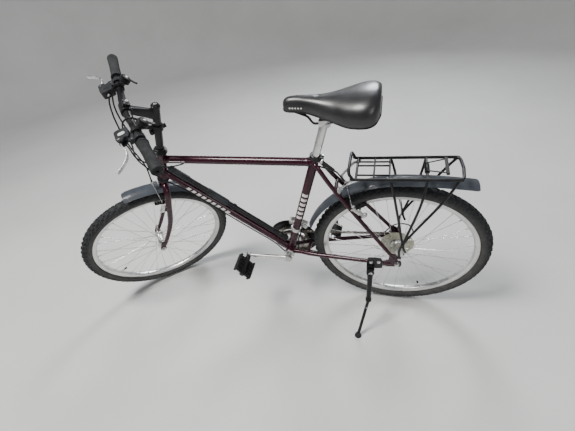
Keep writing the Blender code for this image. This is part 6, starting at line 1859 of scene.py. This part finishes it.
def build_stand():
    """The side stand: its bracket, and its bent leg from the pivot to the rubber foot."""
    build_stand_bracket()
    foot = Vector((STAND_FOOT[0], STAND_FOOT[1], ground_z(*STAND_FOOT)))
    knee = STAND_PIVOT.lerp(foot, 0.41) + BACK * STAND_BEND
    along = (knee - STAND_PIVOT).normalized()
    down = (LEANED.to_3x3().transposed() @ UP).normalized()
    path = [STAND_PIVOT + along * d for d in (0.009, 0.020, 0.040)] + [knee]
    boss = barrel(0.0150, 0.0120, 0.0012, 0.0015)
    shapes = [button(STAND_PIVOT - STAND_AXIS * 0.006, STAND_AXIS, boss, 36),
              sweep(path, [0.0112, 0.0104, 0.0098, 0.0090], 28),
              sweep([knee + along * d for d in (-0.012, -0.010, 0.003, 0.0045)],
                    [0.0104, 0.0114, 0.0114, 0.0102], 28),
              rod(knee, foot + down * 0.0060, 0.0062, 24)]
    piece("stand_leg_tubes", shapes, BLACK, "stand_leg", None, ["stand_leg"])
    tread = [(0.0118, 0.0), (0.0135, 0.0016), (0.0132, 0.0060), (0.0100, 0.0086), (0.0086, 0.0170),
             (0.0080, 0.0180)]
    piece("stand_rubber_foot", [button(foot, down, tread, 32)], RUBBER, "stand_leg")
    piece("stand_pivot_bolt", [bolt_head(STAND_PIVOT + STAND_AXIS * 0.0060, STAND_AXIS, 0.0075, 0.0030)],
          CHROME, "stand_leg")
    pin = STAND_PIVOT - along * 0.004
    press = button(knee.lerp(foot, 0.18) - SIDE * 0.0050, -SIDE,
                   [(0.0032, 0.0), (0.0032, 0.0020), (0.0020, 0.0028)], 16)
    piece("stand_height_button", [press, rod(pin, pin + STAND_AXIS * 0.0066, 0.0022, 12)], CHROME,
          "stand_leg")


def build_stand_bracket():
    """The plate bolted across the left stays, with the lug that the stand's leg turns on."""
    outline = [(-0.0265, -0.0270), (0.0220, -0.0290), (0.0280, -0.0150), (0.0250, 0.0240), (0.0130, 0.0290),
               (-0.0200, 0.0285), (-0.0280, 0.0150)]
    face = Vector((-0.080, PLATE_Y - 0.0030, 0.006))
    lug = [(0.0125, 0.0), (0.0140, 0.0012), (0.0140, 0.0118), (0.0128, 0.0130)]
    piece("stand_bracket_plate",
          [round_plate([(a, -b) for a, b in outline], face, BACK, -UP, 0.0058),
           block(Vector((-0.096, PLATE_Y - 0.0080, -0.020)), (0.030, 0.0130, 0.024)),
           button((-0.096, PLATE_Y - 0.0020, -0.0290), -SIDE, lug, 32)], BLACK, "frame", None,
          ["stand_bracket"], edge=0.0007)
    bolts = []
    for x, z in ((-0.066, 0.018), (-0.094, 0.014)):
        at = Vector((x, PLATE_Y - 0.0060, z))
        bolts.append(nut(at, -SIDE, 0.0120, 0.0052))
        bolts.append(rod(at, at - SIDE * 0.0072, 0.0030, 16))
    piece("stand_bracket_bolts", bolts, CHROME, "frame")


# ---- cables ---------------------------------------------------------------------------------
CABLE_R = 0.0026
BEND_LOW = LEANED @ Vector((-0.8700, 0.0, 0.4700))
BEND_HIGH = LEANED @ Vector((-0.9000, 0.0, 0.5800))


def turned_front(point):
    """Where a point drawn on the straight-ahead front end lies once the steering is turned."""
    return TURN @ Vector(point)


def cable(name, node, route, body, place=None, steps=7):
    """One cable in its housing along a route, with a ferrule at each end."""
    path = smooth_path(route, steps)
    shapes = [sweep(path, CABLE_R, 14)]
    for a, b in ((path[0], path[1]), (path[-1], path[-2])):
        d = (b - a).normalized()
        shapes.append(sweep([a - d * 0.0002, a, a + d * 0.0110, a + d * 0.0120],
                            [CABLE_R + 0.0006, CABLE_R + 0.0009, CABLE_R + 0.0009, CABLE_R + 0.0002], 16))
    piece(name, shapes, HOUSING, body, place, [node], smooth=60.0)


def build_cables(front_yoke, rear_yoke):
    """The four cables. Three pass from the steering to the frame; those are baked where they lie and do not
    bend.
    """
    bending = ("frame", "steering", BEND_LOW, BEND_HIGH)
    lever_x = bar_point(LEVER_Y).x - 0.040
    lever_z = bar_point(LEVER_Y).z + 0.006
    route = [(lever_x, 0.0985, lever_z), (lever_x - 0.0010, 0.0935, lever_z - 0.0020),
             (-0.9000, 0.0860, 0.6660), (-0.9110, 0.0750, 0.6330), (-0.9160, 0.0600, 0.6070),
             (-0.9200, 0.0450, 0.5750), (-0.9220, 0.0250, 0.5230),
             (-0.9180, 0.0080, 0.4380), front_yoke + STEER_UP * 0.0068]
    cable("front_brake_cable", "cable_front_brake", route, "steering", STEERED)
    under = Vector((0.0, 0.0130, -0.0135))
    route = [turned_front(p) for p in ((lever_x, -0.0985, lever_z),
                                       (lever_x - 0.0010, -0.0935, lever_z - 0.0010),
                                       (-0.8980, -0.0860, 0.6720), (-0.9050, -0.0760, 0.6400),
                                       (-0.9080, -0.0640, 0.5950), (-0.9120, -0.0520, 0.5400))]
    route += [(-0.8500, -0.0760, 0.4800), (-0.8180, -0.0380, 0.4340), (-0.7850, -0.0020, 0.4150)]
    route += [TOP_TUBE[0].lerp(TOP_TUBE[1], t) + under for t in (0.19, 0.35, 0.60, 0.86)]
    route += [on_seat(0.4480, 0.0, 0.0210), on_seat(0.4580, 0.0270, 0.0120),
              stay_point(0.4350, 0.0320, 0.0020), stay_point(0.4150, 0.0350), rear_yoke + STAY_DIR * 0.0068]
    cable("rear_brake_cable", "cable_rear_brake", route, bending)
    rear = [turned_front(p) for p in ((-0.8270, 0.0980, 0.7020), (-0.8430, 0.0940, 0.7130),
                                      (-0.8670, 0.0930, 0.7000), (-0.8830, 0.0920, 0.6740),
                                      (-0.8950, 0.0850, 0.6420), (-0.9000, 0.0680, 0.6000),
                                      (-0.9020, 0.0500, 0.5400))]
    rear += [(-0.9250, 0.0020, 0.4700), (-0.9080, 0.0260, 0.4150), (-0.8700, 0.0320, 0.3700)]
    rear += [down_tube_point(t, -0.0165, 0.0130) for t in (0.100, 0.250, 0.400, 0.530)]
    rear += [(-0.4660, 0.0180, -0.0450), (-0.4350, 0.0270, -0.0600), (-0.3950, 0.0340, -0.0490),
             (-0.3300, 0.0440, -0.0400), (-0.1200, 0.0690, -0.0260), (-0.0620, 0.0860, -0.0180),
             (-0.0100, 0.1000, 0.0280), (0.0450, 0.1000, 0.0280), (0.0620, 0.0950, -0.0200),
             (0.0300, 0.0900, -0.0620)]
    cable("rear_gear_cable", "cable_rear_gear", rear, bending)
    front = [turned_front(p) for p in ((-0.8270, -0.0980, 0.7020), (-0.8450, -0.0900, 0.7130),
                                       (-0.8720, -0.0780, 0.7000), (-0.8900, -0.0620, 0.6550),
                                       (-0.8980, -0.0450, 0.5900))]
    front += [(-0.8850, -0.0750, 0.5000), (-0.8920, -0.0450, 0.4300), (-0.8700, -0.0320, 0.3700)]
    front += [down_tube_point(t, -0.0165, -0.0130) for t in (0.100, 0.250, 0.400, 0.530)]
    front += [BB + Vector((-0.0280, -0.0130, -0.0180)), BB + Vector((-0.0040, -0.0120, -0.0270)),
              BB + Vector((0.0270, 0.0, -0.0140)), BB + Vector((0.0340, 0.0040, 0.0120)),
              on_seat(0.0640, 0.0215, 0.0080), on_seat(0.0980, 0.0235, 0.0130),
              on_seat(0.1190, 0.0235, 0.0150)]
    cable("front_gear_cable", "cable_front_gear", front, bending)


# ---- the whole bicycle ----------------------------------------------------------------------
build_wheel("front", WHEEL_AT["front"], -0.0300, 0.0300, 0.0200, 0.0140, radians(200.0))
build_wheel("rear", LEANED, -0.0340, 0.0200, 0.0225, 0.0160, radians(-67.0))
build_axle("front", WHEEL_AT["front"], "steering", 0.0495, -0.0300, 0.0300)
build_axle("rear", LEANED, "frame", DROP_IN, -0.0340, 0.0200)
build_frame()
build_headset()
build_seat()
build_fork()
build_cockpit()
front_ends = []
rear_ends = []
for side, label in SIDES:
    front_ends.append(build_brake("front", label, side, STEER_UP, -STEER_BACK, FRONT_COLLAR, STEERED))
    rear_ends.append(build_brake("rear", label, side, STAY_DIR, STAY_NORMAL, REAR_COLLAR, LEANED))
front_yoke = on_steering(0.3800, 0.0450)
rear_yoke = stay_point(0.3800, 0.0340)
build_straddle("front", front_yoke, front_ends, -STEER_BACK, "steering", STEERED)
build_straddle("rear", rear_yoke, rear_ends, STAY_NORMAL, "frame", LEANED)
build_rear_mudguard()
build_front_mudguard()
build_rack()
build_pump()
build_sprockets()
build_cranks()
build_chain()
build_rear_derailleur()
build_front_derailleur()
build_stand()
build_cables(front_yoke, rear_yoke)


# ---- floor, light and camera ----------------------------------------------------------------
FLAT_R = 5.0
COVE_R = 1.5
WALL_TOP = 3.2
ROOM_LIGHT = 0.20
# The lamps: name, place, the height each one faces over the middle, its size, power and tint.
LAMPS = (("key", (-1.2, -1.2, 4.0), 0.4, 1.3, 210.0, (1.0, 0.98, 0.95)),
         ("fill", (3.0, -3.0, 2.6), 0.5, 2.0, 45.0, (1.0, 1.0, 1.0)),
         ("rim", (0.4, 3.0, 3.2), 0.6, 1.4, 110.0, (0.93, 0.96, 1.0)))


def build_floor():
    """A pale floor, flat round the bicycle, that curves up into a wall all round."""
    p = Paint("pale_floor", ior=1.4)
    base = p.mix(p.spread(p.noise(1.3, 4.0), 0.3, 0.7), (0.60, 0.60, 0.59), (0.66, 0.66, 0.65))
    p.colour(base)
    p.rough(p.spread(p.noise(5.0, 3.0), 0.3, 0.7, 0.70, 0.85))
    p.bump(p.noise(40.0, 3.0), 0.04, 0.002)
    profile = [(0.02, 0.0), (2.0, 0.0), (4.0, 0.0), (FLAT_R, 0.0)]
    for k in range(1, 11):
        a = radians(9.0 * k)
        profile.append((FLAT_R + COVE_R * sin(a), COVE_R - COVE_R * cos(a)))
    profile.append((FLAT_R + COVE_R, WALL_TOP))
    sides = 96
    verts = [(r * cos(a), r * sin(a), z) for r, z in profile for a in around(sides)]
    faces = [tuple(range(sides))]
    for i in range(len(profile) - 1):
        for k in range(sides):
            n = (k + 1) % sides
            faces.append((i * sides + k, (i + 1) * sides + k, (i + 1) * sides + n, i * sides + n))
    mesh = bpy.data.meshes.new("floor")
    mesh.from_pydata(verts, [], faces)
    mesh.shade_smooth()
    mesh.materials.append(p.mat)
    floor = bpy.data.objects.new("floor", mesh)
    bpy.context.scene.collection.objects.link(floor)
    floor.location = (0.0, 0.0, -0.0005)


def soft_light(name, at, height, size, power, tint):
    """A round area light that faces a point over the middle of the floor."""
    lamp = bpy.data.lights.new(name, "AREA")
    lamp.shape = "DISK"
    lamp.size = size
    lamp.energy = power
    lamp.color = tint
    obj = bpy.data.objects.new(name, lamp)
    bpy.context.scene.collection.objects.link(obj)
    obj.location = at
    obj.rotation_mode = "QUATERNION"
    obj.rotation_quaternion = (Vector(at) - UP * height).to_track_quat("Z", "Y")


def build_light():
    """A dim blue-white room and three round lamps."""
    world = bpy.data.worlds.new("soft_room")
    world.use_nodes = True
    background = world.node_tree.nodes["Background"]
    background.inputs["Color"].default_value = (0.90, 0.94, 1.0, 1.0)
    background.inputs["Strength"].default_value = ROOM_LIGHT
    bpy.context.scene.world = world
    for lamp in LAMPS:
        soft_light(*lamp)


CAMERA_AT = Vector((0.4539, -0.9621, 1.2697))
HEADING = radians(19.79)
PITCH_DOWN = radians(-35.87)
ROLL = radians(-9.384)


def build_camera():
    """The camera, placed and turned as solved for the view of the bicycle."""
    lens = bpy.data.cameras.new("camera")
    lens.sensor_fit = "HORIZONTAL"
    lens.sensor_width = 36.0
    lens.lens = 21.454
    lens.clip_start = 0.01
    camera = bpy.data.objects.new("camera", lens)
    bpy.context.scene.collection.objects.link(camera)
    camera.matrix_world = (Matrix.Translation(CAMERA_AT) @ Matrix.Rotation(HEADING, 4, "Z")
                           @ Matrix.Rotation(pi / 2 + PITCH_DOWN, 4, "X") @ Matrix.Rotation(ROLL, 4, "Z"))
    bpy.context.scene.camera = camera


build_floor()
build_light()
build_camera()
